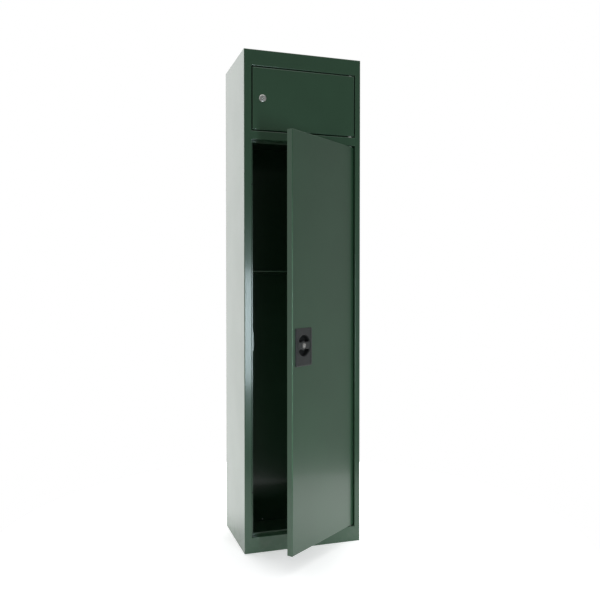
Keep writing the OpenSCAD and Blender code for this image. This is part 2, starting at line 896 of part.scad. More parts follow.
module pinion_outline() {
  n = len(flank_radii);
  polygon([for (k = [0:gear_teeth - 1]) let (a = k * 360 / gear_teeth) each concat(
    [for (i = [0:n - 1]) flank_radii[i] * unit(a - half_tooth(flank_radii[i]))],
    [for (i = [n - 1:-1:0]) flank_radii[i] * unit(a + half_tooth(flank_radii[i]))])]);
}

module drive_pinion() color(nickel)
  at_handle()
    difference() {
      union() {
        slab(rod_y - 0.4, rod_y + rod_t + 0.4) pinion_outline();
        bar(case_y + 0.2, case_end - 0.2, pinion_hub_r);
      }
      slab(case_y - 1, case_end + 1) square(spindle_w, center = true);
    }

// One rack tooth pointing at the pinion on its left
module rack_tooth() {
  half = tooth_pitch / 4 - backlash / 2;
  slope = tan(pressure);
  half_tip = half - (pitch_r - tooth_tip_x) * slope;
  half_root = half + (tooth_root_x - pitch_r) * slope;
  polygon([[tooth_tip_x, -half_tip], [tooth_root_x + tiny, -half_root],
    [tooth_root_x + tiny, half_root], [tooth_tip_x, half_tip]]);
}

// A flat rod with a rack at its start, drawn to the right of the pinion and running down
module rack_rod(length) {
  teeth = 8;
  first = 1.5;
  slab(rod_y, rod_y + rod_t) {
    for (i = [0:teeth - 1])
      translate([0, (i - first) * tooth_pitch]) rack_tooth();
    translate([tooth_root_x, -length]) square([rod_w, length + (teeth - first) * tooth_pitch]);
  }
}

module lower_latch_rod() color(zinc)
  at_handle() rack_rod(handle_z - rod_bottom);

module upper_latch_rod() color(zinc)
  at_handle() rotate([0, 180, 0]) rack_rod(rod_top - handle_z);

// Centres of the two rod guides: one on the top lip and one on the bottom lip
module at_guides() {
  edge = door_lip_w - guide_h / 2 - 1;
  translate([handle_x - rod_x, front, lower_z1 - door_gap - edge]) children();
  translate([handle_x + rod_x, front, lower_z0 + door_gap + edge]) children();
}

module guide_spots() {
  at_guides()
    for (x = [-guide_screw_x, guide_screw_x])
      translate([x, 0, 0]) children();
}

module rod_guides() color(nylon)
  on_lower_door() {
    difference() {
      at_guides()
        difference() {
          union() {
            slab(door_d, door_d + guide_base) square([guide_w, guide_h], center = true);
            slab(door_d, rod_y + rod_t + guide_arch) square([rod_w + 6, guide_h], center = true);
          }
          rod_slot();
        }
      guide_spots() bar(door_d - 1, door_d + guide_base + 1, guide_screw_r);
    }
  }

module guide_screws() color(zinc)
  on_lower_door() guide_spots()
    pan_screw(door_d + guide_base, door_d - guide_screw_l, guide_screw_r, guide_screw_head_r,
      guide_screw_head_t);

left_side_panel();
right_side_panel();
left_stile();
right_stile();
top_panel();
divider_panel();
base_panel();
back_panel();
back_rivets();
hinge_plates();
upper_hinge_pins();
lower_hinge_pins();
thrust_washers();
stop_buffers();
cam_keeper();
shelf();
shelf_supports();
upper_door_pan();
upper_door_bushes();
upper_lock_body();
upper_lock_nut();
upper_lock_plug();
upper_lock_cam();
upper_cam_screw();
lower_door_pan();
lower_door_stiffener();
lower_door_bushes();
lock_bracket();
handle_plate();
plate_screws();
lock_case();
lock_case_cover();
case_screws();
rod_guides();
guide_screws();
upper_latch_rod();
lower_latch_rod();
turn_handle();
cylinder_housing();
handle_spindle();
drive_pinion();
side_cam();
cam_screw();
key_plug();
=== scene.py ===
"""Looks of a tall steel parcel cabinet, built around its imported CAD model.

Lengths are metres. X runs to the right, Y into the depth and Z up. The lower door stands ajar, so
what it carries is built in the local axes of its turning parts and then put in place.
"""

from __future__ import annotations

import json
import logging
import math
from collections.abc import Sequence
from dataclasses import dataclass, field
from enum import Enum

import bmesh
import bpy
from mathutils import Matrix, Vector
from mathutils.geometry import delaunay_2d_cdt


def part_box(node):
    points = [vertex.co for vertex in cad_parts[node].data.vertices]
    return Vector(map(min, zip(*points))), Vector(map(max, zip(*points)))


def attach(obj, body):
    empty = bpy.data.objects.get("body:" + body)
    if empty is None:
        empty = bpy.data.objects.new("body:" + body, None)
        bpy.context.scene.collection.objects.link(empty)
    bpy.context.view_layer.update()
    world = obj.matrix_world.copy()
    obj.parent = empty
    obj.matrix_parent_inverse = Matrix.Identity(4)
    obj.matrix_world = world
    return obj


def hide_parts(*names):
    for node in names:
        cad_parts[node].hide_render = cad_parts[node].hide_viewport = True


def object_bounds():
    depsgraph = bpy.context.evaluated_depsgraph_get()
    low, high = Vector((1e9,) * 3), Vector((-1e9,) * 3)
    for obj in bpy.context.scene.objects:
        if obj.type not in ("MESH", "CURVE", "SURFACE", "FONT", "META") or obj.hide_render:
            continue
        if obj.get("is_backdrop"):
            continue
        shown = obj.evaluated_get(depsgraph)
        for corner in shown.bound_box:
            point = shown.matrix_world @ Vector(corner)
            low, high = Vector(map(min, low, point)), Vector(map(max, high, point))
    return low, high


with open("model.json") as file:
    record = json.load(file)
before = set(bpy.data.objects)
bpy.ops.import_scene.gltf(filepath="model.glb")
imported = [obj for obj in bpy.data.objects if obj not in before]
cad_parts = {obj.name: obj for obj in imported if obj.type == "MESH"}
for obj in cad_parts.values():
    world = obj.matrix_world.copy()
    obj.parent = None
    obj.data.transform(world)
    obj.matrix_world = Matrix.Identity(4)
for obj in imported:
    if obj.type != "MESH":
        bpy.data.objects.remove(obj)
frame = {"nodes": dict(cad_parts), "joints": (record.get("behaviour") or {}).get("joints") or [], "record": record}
CAD_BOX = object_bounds()

LOG = logging.getLogger("cabinet")
UP = Vector((0.0, 0.0, 1.0))
MM = 0.001
SHARP_FOLD = math.radians(32.0)
LEAST_CORNER = 0.6 * MM
QUARTER = [math.pi / 8.0 * i for i in range(5)]  # steps round a quarter of a circle
MERGE = 1e-7  # metres; points of one surface nearer than this are one
CAD_MERGE = 1e-6  # the same for the points of a CAD solid
FLAT_EPSILON = 1e-9  # the same for the points of a flat face
INSIDE_OUTLINES = 1  # the triangulator keeps the triangles inside the outlines

Loop = list[tuple[float, float]]
Ring = list[bmesh.types.BMVert]
Colour = tuple[float, float, float]
Socket = bpy.types.NodeSocket
Object = bpy.types.Object
Material = bpy.types.Material


# ---- Places taken from the CAD model ----


@dataclass(frozen=True)
class Axes:
    """Local axes of a turning part: X across, Y into the depth along its axis, Z up."""

    origin: Vector
    depth: Vector

    @classmethod
    def of_joint(cls, name: str) -> Axes:
        """Takes the axes from a hinge joint whose axis runs into the depth.

        Args:
            name: The joint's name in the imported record.

        Returns:
            Axes with their origin on the joint's axis.
        """
        joint = next(j for j in frame["joints"] if j["name"] == name)
        return cls(Vector(joint["pos_m"]), Vector(joint["axis"]).normalized())

    @property
    def turn(self) -> float:
        """How far these axes are turned about the vertical, in radians."""
        return math.atan2(-self.depth.x, self.depth.y)

    @property
    def matrix(self) -> Matrix:
        """The transform from these axes to the model's own."""
        across = self.depth.cross(UP).normalized()
        turn = Matrix((across, self.depth, UP)).transposed().to_4x4()
        return Matrix.Translation(self.origin) @ turn

    def islands(self, node: str) -> list[tuple[Vector, Vector]]:
        """Measures the separate solids of a CAD node.

        Args:
            node: The CAD node's name.

        Returns:
            The lowest and highest corner of each solid, in these axes.
        """
        mesh = bmesh.new()
        mesh.from_mesh(frame["nodes"][node].data)
        bmesh.ops.remove_doubles(mesh, verts=mesh.verts, dist=CAD_MERGE)
        mesh.transform(self.matrix.inverted())
        left = set(mesh.verts)
        found = []
        while left:
            start = left.pop()
            group = [start]
            for vert in group:
                near = {e.other_vert(vert) for e in vert.link_edges} & left
                left -= near
                group.extend(near)
            low = Vector([min(v.co[i] for v in group) for i in range(3)])
            high = Vector([max(v.co[i] for v in group) for i in range(3)])
            found.append((low, high))
        mesh.free()
        return sorted(found, key=lambda pair: tuple(round(c, 5) for c in pair[0]))

    def box(self, node: str) -> tuple[Vector, Vector]:
        """Measures a CAD node.

        Args:
            node: The CAD node's name.

        Returns:
            Its lowest and highest corner, in these axes.
        """
        solids = self.islands(node)
        low = Vector([min(s[0][i] for s in solids) for i in range(3)])
        high = Vector([max(s[1][i] for s in solids) for i in range(3)])
        return low, high


# ---- Outlines: closed loops of (across, up) points, counterclockwise ----


def angles_of(loop: Loop) -> list[float]:
    """Gives the direction of each point of a loop.

    Args:
        loop: An outline about the origin.

    Returns:
        Angles in radians, in the loop's order.
    """
    return [math.atan2(z, x) for x, z in loop]


def circle(radius: float, angles: Sequence[float]) -> Loop:
    """Makes a circle about the origin.

    Args:
        radius: Its radius.
        angles: The directions of its points.

    Returns:
        The outline.
    """
    return [(radius * math.cos(a), radius * math.sin(a)) for a in angles]


def even_angles(count: int) -> list[float]:
    """Spreads directions evenly.

    Args:
        count: How many.

    Returns:
        Angles in radians, from 0 up.
    """
    return [2.0 * math.pi * i / count for i in range(count)]


def slot(width: float, height: float, angles: Sequence[float]) -> Loop:
    """Makes an upright slot with round ends.

    Args:
        width: Its width.
        height: Its full height.
        angles: The directions of its points.

    Returns:
        The outline, each point on its direction from the centre.
    """
    r = width / 2.0
    reach = height / 2.0 - r
    points: Loop = []
    for a in angles:
        x, z = math.cos(a), math.sin(a)
        span = r / abs(x) if abs(x) > 1e-9 else math.inf
        if span * abs(z) > reach:
            span = reach * abs(z) + math.sqrt(max(r * r - (reach * x) ** 2, 0.0))
        points.append((span * x, span * z))
    return points


def rounded_plate(low: Vector, high: Vector, radius: float, inset: float, steps: int, side: int) -> Loop:
    """Makes a rectangle with round corners.

    Args:
        low: Lowest corner, of which X and Z are used.
        high: Highest corner.
        radius: Corner radius at no inset.
        inset: How far the outline draws in.
        steps: Segments in a corner.
        side: Segments along each side.

    Returns:
        The outline, from the right side's lower end round.
    """
    r = max(radius - inset, LEAST_CORNER)
    x0, x1 = low.x + inset + r, high.x - inset - r
    z0, z1 = low.z + inset + r, high.z - inset - r
    corners = [(x1, z1, 0.0), (x0, z1, 0.5), (x0, z0, 1.0), (x1, z0, 1.5)]
    points: Loop = []
    for (cx, cz, start), (nx, nz, turn) in zip(corners, corners[1:] + corners[:1]):
        for i in range(steps + 1):
            a = math.pi * (start + 0.5 * i / steps)
            points.append((cx + r * math.cos(a), cz + r * math.sin(a)))
        x, z = points[-1]
        run = nx + r * math.cos(math.pi * turn) - x
        rise = nz + r * math.sin(math.pi * turn) - z
        points += [(x + run * i / side, z + rise * i / side) for i in range(1, side)]
    return points


@dataclass(frozen=True)
class BarOutline:
    """A level bar across a circle, its sides swept out to meet the circle at each end."""

    radius: float
    half_height: float
    sweep_r: float
    lean: float = math.radians(20.0)
    end_steps: int = 28
    sweep_steps: int = 8
    side_steps: int = 36

    def loop(self, inset: float) -> Loop:
        """Draws the outline.

        Args:
            inset: How far it draws in.

        Returns:
            The outline, from the right end's lower corner round.
        """
        r, h, f = self.radius - inset, self.half_height - inset, self.sweep_r + inset
        end_z = h + f * (1.0 - math.sin(self.lean))
        end_x = math.sqrt(r * r - end_z * end_z)
        bend_x = end_x - f * math.cos(self.lean)
        corner = math.atan2(end_z, end_x)
        bend = math.pi / 2.0 - self.lean
        half = circle(r, [corner * (2.0 * i / self.end_steps - 1.0) for i in range(self.end_steps)])
        right = circle(f, [-self.lean - bend * i / self.sweep_steps for i in range(self.sweep_steps)])
        half += [(x + bend_x, z + h + f) for x, z in right]
        half += [(bend_x * (1.0 - 2.0 * i / self.side_steps), h) for i in range(self.side_steps)]
        left = circle(f, [-math.pi / 2.0 - bend * i / self.sweep_steps for i in range(self.sweep_steps)])
        half += [(x - bend_x, z + h + f) for x, z in left]
        return half + [(-x, -z) for x, z in half]


# ---- Meshes ----


class Shell:
    """Closed surfaces built ring by ring, in local axes."""

    def __init__(self, axes: Axes) -> None:
        """Starts an empty mesh.

        Args:
            axes: The axes that the rings are drawn in.
        """
        self.axes = axes
        self.mesh = bmesh.new()

    def ring(self, loop: Loop, depth: float, shift: tuple[float, float]) -> Ring:
        """Adds the points of one loop.

        Args:
            loop: The outline.
            depth: Its place along the depth.
            shift: How far it is moved across and up.

        Returns:
            The new points.
        """
        return [self.mesh.verts.new((x + shift[0], depth, z + shift[1])) for x, z in loop]

    def band(self, first: Ring, second: Ring) -> None:
        """Joins two rings with a strip of faces.

        Args:
            first: One ring.
            second: The other, with as many points.
        """
        for i in range(len(first)):
            j = (i + 1) % len(first)
            self.mesh.faces.new((first[i], first[j], second[j], second[i]))

    def skin(
        self,
        rings: Sequence[tuple[Loop, float]],
        shift: tuple[float, float] = (0.0, 0.0),
    ) -> tuple[Ring, Ring]:
        """Joins loops into an open surface.

        Args:
            rings: Each loop with its depth, in order along the surface.
            shift: How far the whole is moved across and up.

        Returns:
            The points of its first and its last ring.
        """
        made = [self.ring(loop, depth, shift) for loop, depth in rings]
        for first, second in zip(made, made[1:]):
            self.band(first, second)
        return made[0], made[-1]

    def pierced(self, outer: Ring, hole: Ring) -> None:
        """Fills the flat face between an outline and the hole in it.

        Args:
            outer: The ring round the face.
            hole: The ring round the hole.
        """
        rings = outer + hole
        flat = [Vector((vert.co.x, vert.co.z)) for vert in rings]
        spans = ((0, len(outer)), (len(outer), len(hole)))
        edges = [(start + i, start + (i + 1) % count) for start, count in spans for i in range(count)]
        _, _, faces, sources, _, _ = delaunay_2d_cdt(flat, edges, [], INSIDE_OUTLINES, FLAT_EPSILON)
        for face in faces:
            picked = [sources[i][0] for i in face]
            if min(picked) < len(outer):
                self.mesh.faces.new([rings[i] for i in picked])

    def loft(
        self,
        rings: Sequence[tuple[Loop, float]],
        closed: bool = False,
        shift: tuple[float, float] = (0.0, 0.0),
    ) -> None:
        """Joins loops into one closed surface.

        Args:
            rings: Each loop with its depth, in order along the surface.
            closed: Whether the last loop joins the first; otherwise both ends get a flat face.
            shift: How far the whole is moved across and up.
        """
        first, last = self.skin(rings, shift)
        if closed:
            self.band(last, first)
        else:
            self.mesh.faces.new(first)
            self.mesh.faces.new(last)

    def turned(
        self,
        profile: Sequence[tuple[float, float]],
        closed: bool = False,
        count: int = 96,
        shift: tuple[float, float] = (0.0, 0.0),
    ) -> None:
        """Turns a profile about the axis.

        Args:
            profile: Radius and depth of each point.
            closed: Whether the profile is a loop, as on a tube.
            count: Segments round the axis.
            shift: How far the axis is moved across and up.
        """
        angles = even_angles(count)
        self.loft([(circle(r, angles), d) for r, d in profile], closed, shift)

    def finish(self, name: str, material: Material) -> Object:
        """Turns the collected surfaces into an object at the origin.

        Args:
            name: The piece's name.
            material: Its finish.

        Returns:
            The new object, shaded smooth but for its sharp folds.
        """
        bmesh.ops.remove_doubles(self.mesh, verts=self.mesh.verts, dist=MERGE)
        bmesh.ops.recalc_face_normals(self.mesh, faces=self.mesh.faces)
        self.mesh.transform(self.axes.matrix)
        data = bpy.data.meshes.new(name)
        self.mesh.to_mesh(data)
        self.mesh.free()
        return placed(name, data, material)


def placed(name: str, data: bpy.types.Mesh, material: Material | None) -> Object:
    """Makes an object of a finished mesh.

    Args:
        name: The object's name.
        data: Its mesh, already in place.
        material: Its finish, or None where the mesh has its own.

    Returns:
        The new object, at the origin.
    """
    if material is not None:
        data.materials.clear()
        data.materials.append(material)
    data.shade_smooth()
    data.set_sharp_from_angle(angle=SHARP_FOLD)
    piece = bpy.data.objects.new(name, data)
    bpy.context.scene.collection.objects.link(piece)
    return piece


def report(piece: Object, body: str, slot_name: str, *nodes: str) -> None:
    """Fixes a piece to its body and logs it.

    Args:
        piece: The finished piece.
        body: The CAD body that it rides on.
        slot_name: The record's material slot; not used.
        nodes: The CAD nodes that it stands for.
    """
    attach(piece, body)
    if nodes:
        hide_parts(*nodes)
    LOG.info("%s: %d faces on %s", piece.name, len(piece.data.polygons), body)


# ---- Shader nodes ----


class Wiring:
    """Adds and joins the nodes of one tree."""

    def __init__(self, tree: bpy.types.NodeTree) -> None:
        """Wraps a tree.

        Args:
            tree: A shader or geometry tree.
        """
        self.tree = tree

    def add(
        self,
        kind: str,
        values: dict[str | int, object] | None = None,
        **settings: object,
    ) -> bpy.types.Node:
        """Adds a node.

        Args:
            kind: The node's type name.
            values: Its inputs by name or number: a plain value, or a socket to join.
            settings: Its own properties.

        Returns:
            The new node.
        """
        node = self.tree.nodes.new(kind)
        for key, value in settings.items():
            setattr(node, key, value)
        for key, value in (values or {}).items():
            if isinstance(value, Socket):
                self.tree.links.new(value, node.inputs[key])
            else:
                node.inputs[key].default_value = value
        return node

    def math(self, operation: str, a: object, b: object = 0.0) -> Socket:
        """Adds a Math node.

        Args:
            operation: What it does.
            a: Its first input.
            b: Its second input.

        Returns:
            Its result.
        """
        return self.add("ShaderNodeMath", {0: a, 1: b}, operation=operation).outputs[0]

    def times(self, a: object, b: object) -> Socket:
        """Multiplies two values.

        Args:
            a: One value.
            b: The other.

        Returns:
            Their product.
        """
        return self.math("MULTIPLY", a, b)

    def parts(self, vector: object) -> Sequence[Socket]:
        """Splits a vector.

        Args:
            vector: The vector.

        Returns:
            Its three numbers.
        """
        return self.add("ShaderNodeSeparateXYZ", {0: vector}).outputs

    def combined(self, x: object, y: object, z: object) -> Socket:
        """Joins three numbers into a vector.

        Args:
            x: The first.
            y: The second.
            z: The third.

        Returns:
            The vector.
        """
        return self.add("ShaderNodeCombineXYZ", {0: x, 1: y, 2: z}).outputs[0]

    def distance(self, where: object, point: Vector) -> Socket:
        """Measures how far away a point is.

        Args:
            where: The coordinates.
            point: The point.

        Returns:
            The distance.
        """
        values = {0: where, 1: tuple(point)}
        return self.add("ShaderNodeVectorMath", values, operation="DISTANCE").outputs["Value"]

    def ranged(self, value: object, low: float, high: float, to_low: float, to_high: float) -> Socket:
        """Maps a value smoothly from one range to another, clamped.

        Args:
            value: The input.
            low: Start of the input range.
            high: End of the input range.
            to_low: Result at the start.
            to_high: Result at the end.

        Returns:
            The mapped value.
        """
        values = {"Value": value, "From Min": low, "From Max": high, "To Min": to_low, "To Max": to_high}
        return self.add("ShaderNodeMapRange", values, interpolation_type="SMOOTHSTEP").outputs[0]

    def noise(self, where: object, scale: float, detail: float, roughness: float = 0.5) -> Socket:
        """Adds noise.

        Args:
            where: The coordinates.
            scale: Cycles per metre.
            detail: Octaves.
            roughness: Weight of the finer octaves.

        Returns:
            A value about 0.5.
        """
        values = {"Vector": where, "Scale": scale, "Detail": detail, "Roughness": roughness}
        return self.add("ShaderNodeTexNoise", values).outputs[0]

    def cloud(
        self,
        where: object,
        scale: float,
        detail: float,
        low: float = 0.0,
        high: float = 1.0,
        roughness: float = 0.5,
    ) -> Socket:
        """Adds noise that spreads over a whole range.

        Args:
            where: The coordinates.
            scale: Cycles per metre.
            detail: Octaves.
            low: Its least value.
            high: Its greatest value.
            roughness: Weight of the finer octaves.

        Returns:
            A value from low to high.
        """
        return self.ranged(self.noise(where, scale, detail, roughness), 0.3, 0.7, low, high)

    def mixed(self, share: object, first: object, second: object) -> Socket:
        """Mixes two colours.

        Args:
            share: How much of the second.
            first: A colour or socket.
            second: A colour or socket.

        Returns:
            The mixed colour.
        """
        node = self.add("ShaderNodeMix", data_type="RGBA")
        sockets = {0: share, 6: first, 7: second}
        for key, value in sockets.items():
            if isinstance(value, Socket):
                self.tree.links.new(value, node.inputs[key])
            elif key == 0:
                node.inputs[key].default_value = value
            else:
                node.inputs[key].default_value = (*value, 1.0)
        return node.outputs[2]

    def placed_at(
        self,
        where: object,
        origin: Vector,
        turn: float = 0.0,
        scale: tuple[float, float, float] = (1.0, 1.0, 1.0),
    ) -> Socket:
        """Centres coordinates on a point, then turns and scales them.

        Args:
            where: The coordinates.
            origin: The point.
            turn: The turn of the part about the vertical, in radians.
            scale: The scale along each local axis.

        Returns:
            Local coordinates.
        """
        ends = {0: where, 1: tuple(origin)}
        moved = self.add("ShaderNodeVectorMath", ends, operation="SUBTRACT").outputs[0]
        values = {"Vector": moved, "Rotation": (0.0, 0.0, -turn), "Scale": scale}
        return self.add("ShaderNodeMapping", values, vector_type="POINT").outputs[0]

    def bumped(self, height: object, distance: float, strength: float) -> Socket:
        """Turns a height into a normal.

        Args:
            height: The height, 0 to 1.
            distance: Its depth in metres.
            strength: How much of it shows.

        Returns:
            The normal.
        """
        values = {"Height": height, "Distance": distance, "Strength": strength}
        return self.add("ShaderNodeBump", values).outputs[0]


def new_material(name: str) -> tuple[Material, Wiring, Socket, bpy.types.Node]:
    """Starts a material.

    Args:
        name: Its name.

    Returns:
        The material, its wiring, the object coordinates and the Principled shader.
    """
    material = bpy.data.materials.new(name)
    material.use_nodes = True
    wiring = Wiring(material.node_tree)
    shader = next(n for n in material.node_tree.nodes if n.type == "BSDF_PRINCIPLED")
    where = wiring.add("ShaderNodeTexCoord").outputs["Object"]
    return material, wiring, where, shader


def plug_in(wiring: Wiring, shader: bpy.types.Node, **sockets: Socket) -> None:
    """Joins finished colour, roughness and normal to a shader.

    Args:
        wiring: The material's wiring.
        shader: Its Principled shader.
        sockets: Results by input name, with underscores for spaces.
    """
    for name, socket in sockets.items():
        wiring.tree.links.new(socket, shader.inputs[name.replace("_", " ").title()])


# ---- Finishes ----


def tinted(colour: Colour, gain: float, lift: float = 0.0) -> Colour:
    """Brightens or darkens a colour.

    Args:
        colour: The colour.
        gain: What it is multiplied by.
        lift: What is added to it.

    Returns:
        The new colour.
    """
    return tuple(min(1.0, gain * c + lift) for c in colour)


@dataclass(frozen=True)
class PowderCoat:
    """Semi-gloss powder coat with orange peel, dust low down, rubbed marks and a painted highlight along a fold.
    """

    name: str
    colour: Colour
    rubbed_at: Vector
    rubbed_reach: float = 160.0 * MM
    rubbed_core: float = 30.0 * MM
    fold: Axes | None = None
    fold_highlight_reach: float = 3.2 * MM
    roughness: float = 0.3
    peel_scale: float = 520.0
    peel_depth: float = 0.03 * MM
    speck_scale: float = 1900.0
    dust_top: float = 90.0 * MM
    dust_colour: Colour = (0.2, 0.19, 0.165)

    def paint_fold_highlight(self, w: Wiring, where: Socket, height: Socket, fold: Axes) -> Socket:
        """Paints a lighter band along a fold as a painted highlight, full between about 0.45 and 0.8 m up.

        Args:
            w: The material's wiring.
            where: Object coordinates.
            height: Height above the floor.
            fold: Axes on the fold.

        Returns:
            The painted highlight's strength, 0 to 1.
        """
        local = w.placed_at(where, fold.origin, fold.turn, (1.0, 1.0, 0.0))
        away = w.add("ShaderNodeVectorMath", {0: local}, operation="LENGTH").outputs["Value"]
        fold_glint = w.ranged(away, 0.3 * self.fold_highlight_reach, self.fold_highlight_reach, 0.8, 0.0)
        patches = w.ranged(w.noise(where, 24.0, 3.0), 0.25, 0.6, 0.55, 1.0)
        from_below = w.ranged(height, 0.12, 0.45, 0.1, 1.0)
        from_above = w.ranged(height, 0.8, 1.2, 1.0, 0.1)
        return w.times(w.times(fold_glint, patches), w.times(from_below, from_above))

    def material(self) -> Material:
        """Builds the material.

        Returns:
            The material.
        """
        material, w, where, shader = new_material(self.name)
        shade = w.cloud(where, 5.0, 3.0)
        colour = w.mixed(shade, tinted(self.colour, 0.95), tinted(self.colour, 1.06))
        speck = w.ranged(w.noise(where, self.speck_scale, 1.0), 0.62, 0.74, 0.0, 0.16)
        colour = w.mixed(speck, colour, tinted(self.colour, 2.4, 0.01))
        height = w.parts(where)[2]
        low_down = w.ranged(height, 0.0, self.dust_top, 1.0, 0.0)
        dust = w.times(low_down, w.ranged(w.noise(where, 42.0, 4.0, 0.65), 0.42, 0.7, 0.0, 0.1))
        colour = w.mixed(dust, colour, self.dust_colour)
        if self.fold is not None:
            fold_glint = self.paint_fold_highlight(w, where, height, self.fold)
            # Painted highlight: a lighter copy of the paint along the door's leading fold.
            colour = w.mixed(fold_glint, colour, tinted(self.colour, 2.7, 0.02))
        away = w.distance(where, self.rubbed_at)
        near = w.ranged(away, self.rubbed_core, self.rubbed_reach, 1.0, 0.0)
        smudge = w.times(near, w.ranged(w.noise(where, 30.0, 3.0, 0.6), 0.4, 0.66, 0.0, 0.11))
        cloud = w.cloud(where, 7.0, 2.0, -0.01, 0.01)
        gloss = w.math("ADD", w.math("ADD", smudge, cloud), w.times(dust, 0.8))
        rough = w.math("ADD", gloss, self.roughness)
        peel = w.noise(where, self.peel_scale, 1.5, 0.35)
        normal = w.bumped(peel, self.peel_depth, 0.5)
        plug_in(w, shader, base_color=colour, roughness=rough, normal=normal)
        shader.inputs["IOR"].default_value = 1.52
        shader.inputs["Coat Weight"].default_value = 0.25
        shader.inputs["Coat Roughness"].default_value = 0.12
        return material


@dataclass(frozen=True)
class MouldedPlastic:
    """Fine-grained black plastic, polished where fingers touch it, with painted shade deeper in its recess."""

    name: str
    colour: Colour
    axes: Axes
    touched_reach: float = 30.0 * MM
    touched_core: float = 6.0 * MM
    painted_shade_depth: float = 4.0 * MM
    painted_shade_colour: Colour = (0.004, 0.004, 0.004)
    roughness: float = 0.42
    grain_scale: float = 1700.0
    grain_depth: float = 0.03 * MM

    def material(self) -> Material:
        """Builds the material.

        Returns:
            The material.
        """
        material, w, where, shader = new_material(self.name)
        tone = w.cloud(where, 60.0, 3.0)
        colour = w.mixed(tone, tinted(self.colour, 0.9), tinted(self.colour, 1.1))
        values = {"Vector": where, "Scale": self.grain_scale}
        cells = w.add("ShaderNodeTexVoronoi", values, feature="SMOOTH_F1").outputs["Distance"]
        grain = w.math("ADD", cells, w.times(w.noise(where, 3200.0, 2.0), 0.6))
        away = w.distance(where, self.axes.origin)
        polish = w.times(w.ranged(away, self.touched_core, self.touched_reach, 1.0, 0.0), -0.1)
        local = w.placed_at(where, self.axes.origin, self.axes.turn)
        # Painted shade: the plastic turns near black deeper in the dish, where shade falls.
        recess_shade_mask = w.ranged(w.parts(local)[1], 0.0, self.painted_shade_depth, 0.0, 1.0)
        colour = w.mixed(w.times(recess_shade_mask, 0.75), colour, self.painted_shade_colour)
        cloud = w.cloud(where, 140.0, 3.0, -0.04, 0.06)
        rough = w.math("ADD", w.math("ADD", polish, cloud), w.times(recess_shade_mask, 0.3))
        rough = w.math("ADD", rough, self.roughness)
        normal = w.bumped(grain, self.grain_depth, 0.6)
        plug_in(w, shader, base_color=colour, roughness=rough, normal=normal)
        shader.inputs["IOR"].default_value = 1.49
        return material


class Lay(Enum):
    """How a metal surface was finished."""

    TURNED = "rings about its axis"
    DRAWN = "long lines"
    BARREL = "mottled by barrel plating"


@dataclass(frozen=True)
class PlatedMetal:
    """Plated steel or brass with the marks of its making."""

    name: str
    colour: Colour
    lay: Lay
    roughness: float = 0.25
    axes: Axes | None = None
    darkened_below: float = 0.0
    low_colour: Colour = (0.03, 0.035, 0.03)
    mark_depth: float = 0.02 * MM
    spangle_scale: float = 260.0

    def height(self, w: Wiring, where: Socket) -> Socket:
        """Makes the pattern of the marks.

        Args:
            w: The material's wiring.
            where: Object coordinates.

        Returns:
            A value from 0 to 1.
        """
        if self.lay is Lay.TURNED and self.axes is not None:
            local = w.placed_at(where, self.axes.origin, self.axes.turn)
            x, y, z = w.parts(local)
            squared = w.math("ADD", w.math("POWER", x, 2.0), w.math("POWER", z, 2.0))
            along = w.combined(w.math("SQRT", squared), y, 0.0)
            return w.noise(along, 2600.0, 2.0, 0.6)
        if self.lay is Lay.DRAWN:
            stretched = w.placed_at(where, Vector(), scale=(1500.0, 1500.0, 22.0))
            return w.noise(stretched, 1.0, 3.0, 0.6)
        return w.noise(where, 420.0, 4.0, 0.62)

    def material(self) -> Material:
        """Builds the material.

        Returns:
            The material.
        """
        material, w, where, shader = new_material(self.name)
        marks = self.height(w, where)
        clouds = w.cloud(where, 55.0, 3.0, roughness=0.6)
        values = {"Vector": where, "Scale": self.spangle_scale}
        spangle = w.add("ShaderNodeTexVoronoi", values, feature="F1").outputs["Color"]
        tint = w.mixed(clouds, tinted(self.colour, 0.84), self.colour)
        flake = w.add("ShaderNodeSeparateColor", {0: spangle}).outputs[0]
        tint = w.mixed(w.times(flake, 0.14), tint, tinted(self.colour, 1.2))
        # Darker towards the bottom: mixed towards a dark colour below a given height.
        if self.darkened_below:
            height = w.parts(where)[2]
            lower_darkening = w.ranged(height, 0.5 * self.darkened_below, self.darkened_below, 0.92, 0.0)
            tint = w.mixed(lower_darkening, tint, self.low_colour)
        rough = w.math("ADD", w.ranged(marks, 0.3, 0.7, -0.06, 0.1), self.roughness)
        rough = w.math("ADD", rough, w.times(clouds, 0.05))
        normal = w.bumped(marks, self.mark_depth, 0.5)
        plug_in(w, shader, base_color=tint, roughness=rough, normal=normal)
        shader.inputs["Metallic"].default_value = 1.0
        return material


@dataclass(frozen=True)
class SoftPlastic:
    """Nylon or rubber: a matt moulding with faint flow marks."""

    name: str
    colour: Colour
    roughness: float
    grain_scale: float
    sheen: float = 0.0
    grain_depth: float = 0.04 * MM

    def material(self) -> Material:
        """Builds the material.

        Returns:
            The material.
        """
        material, w, where, shader = new_material(self.name)
        flow = w.cloud(where, 90.0, 3.0, roughness=0.6)
        colour = w.mixed(flow, tinted(self.colour, 0.86), self.colour)
        grain = w.noise(where, self.grain_scale, 3.0, 0.6)
        rough = w.ranged(grain, 0.3, 0.7, self.roughness - 0.06, self.roughness + 0.08)
        normal = w.bumped(grain, self.grain_depth, 0.6)
        plug_in(w, shader, base_color=colour, roughness=rough, normal=normal)
        shader.inputs["Sheen Weight"].default_value = self.sheen
        return material


# ---- Geometry Nodes for what repeats ----


class Size(Enum):
    """Kinds of named input on a geometry tree."""

    LENGTH = "NodeSocketFloat"
    DIRECTION = "NodeSocketVector"


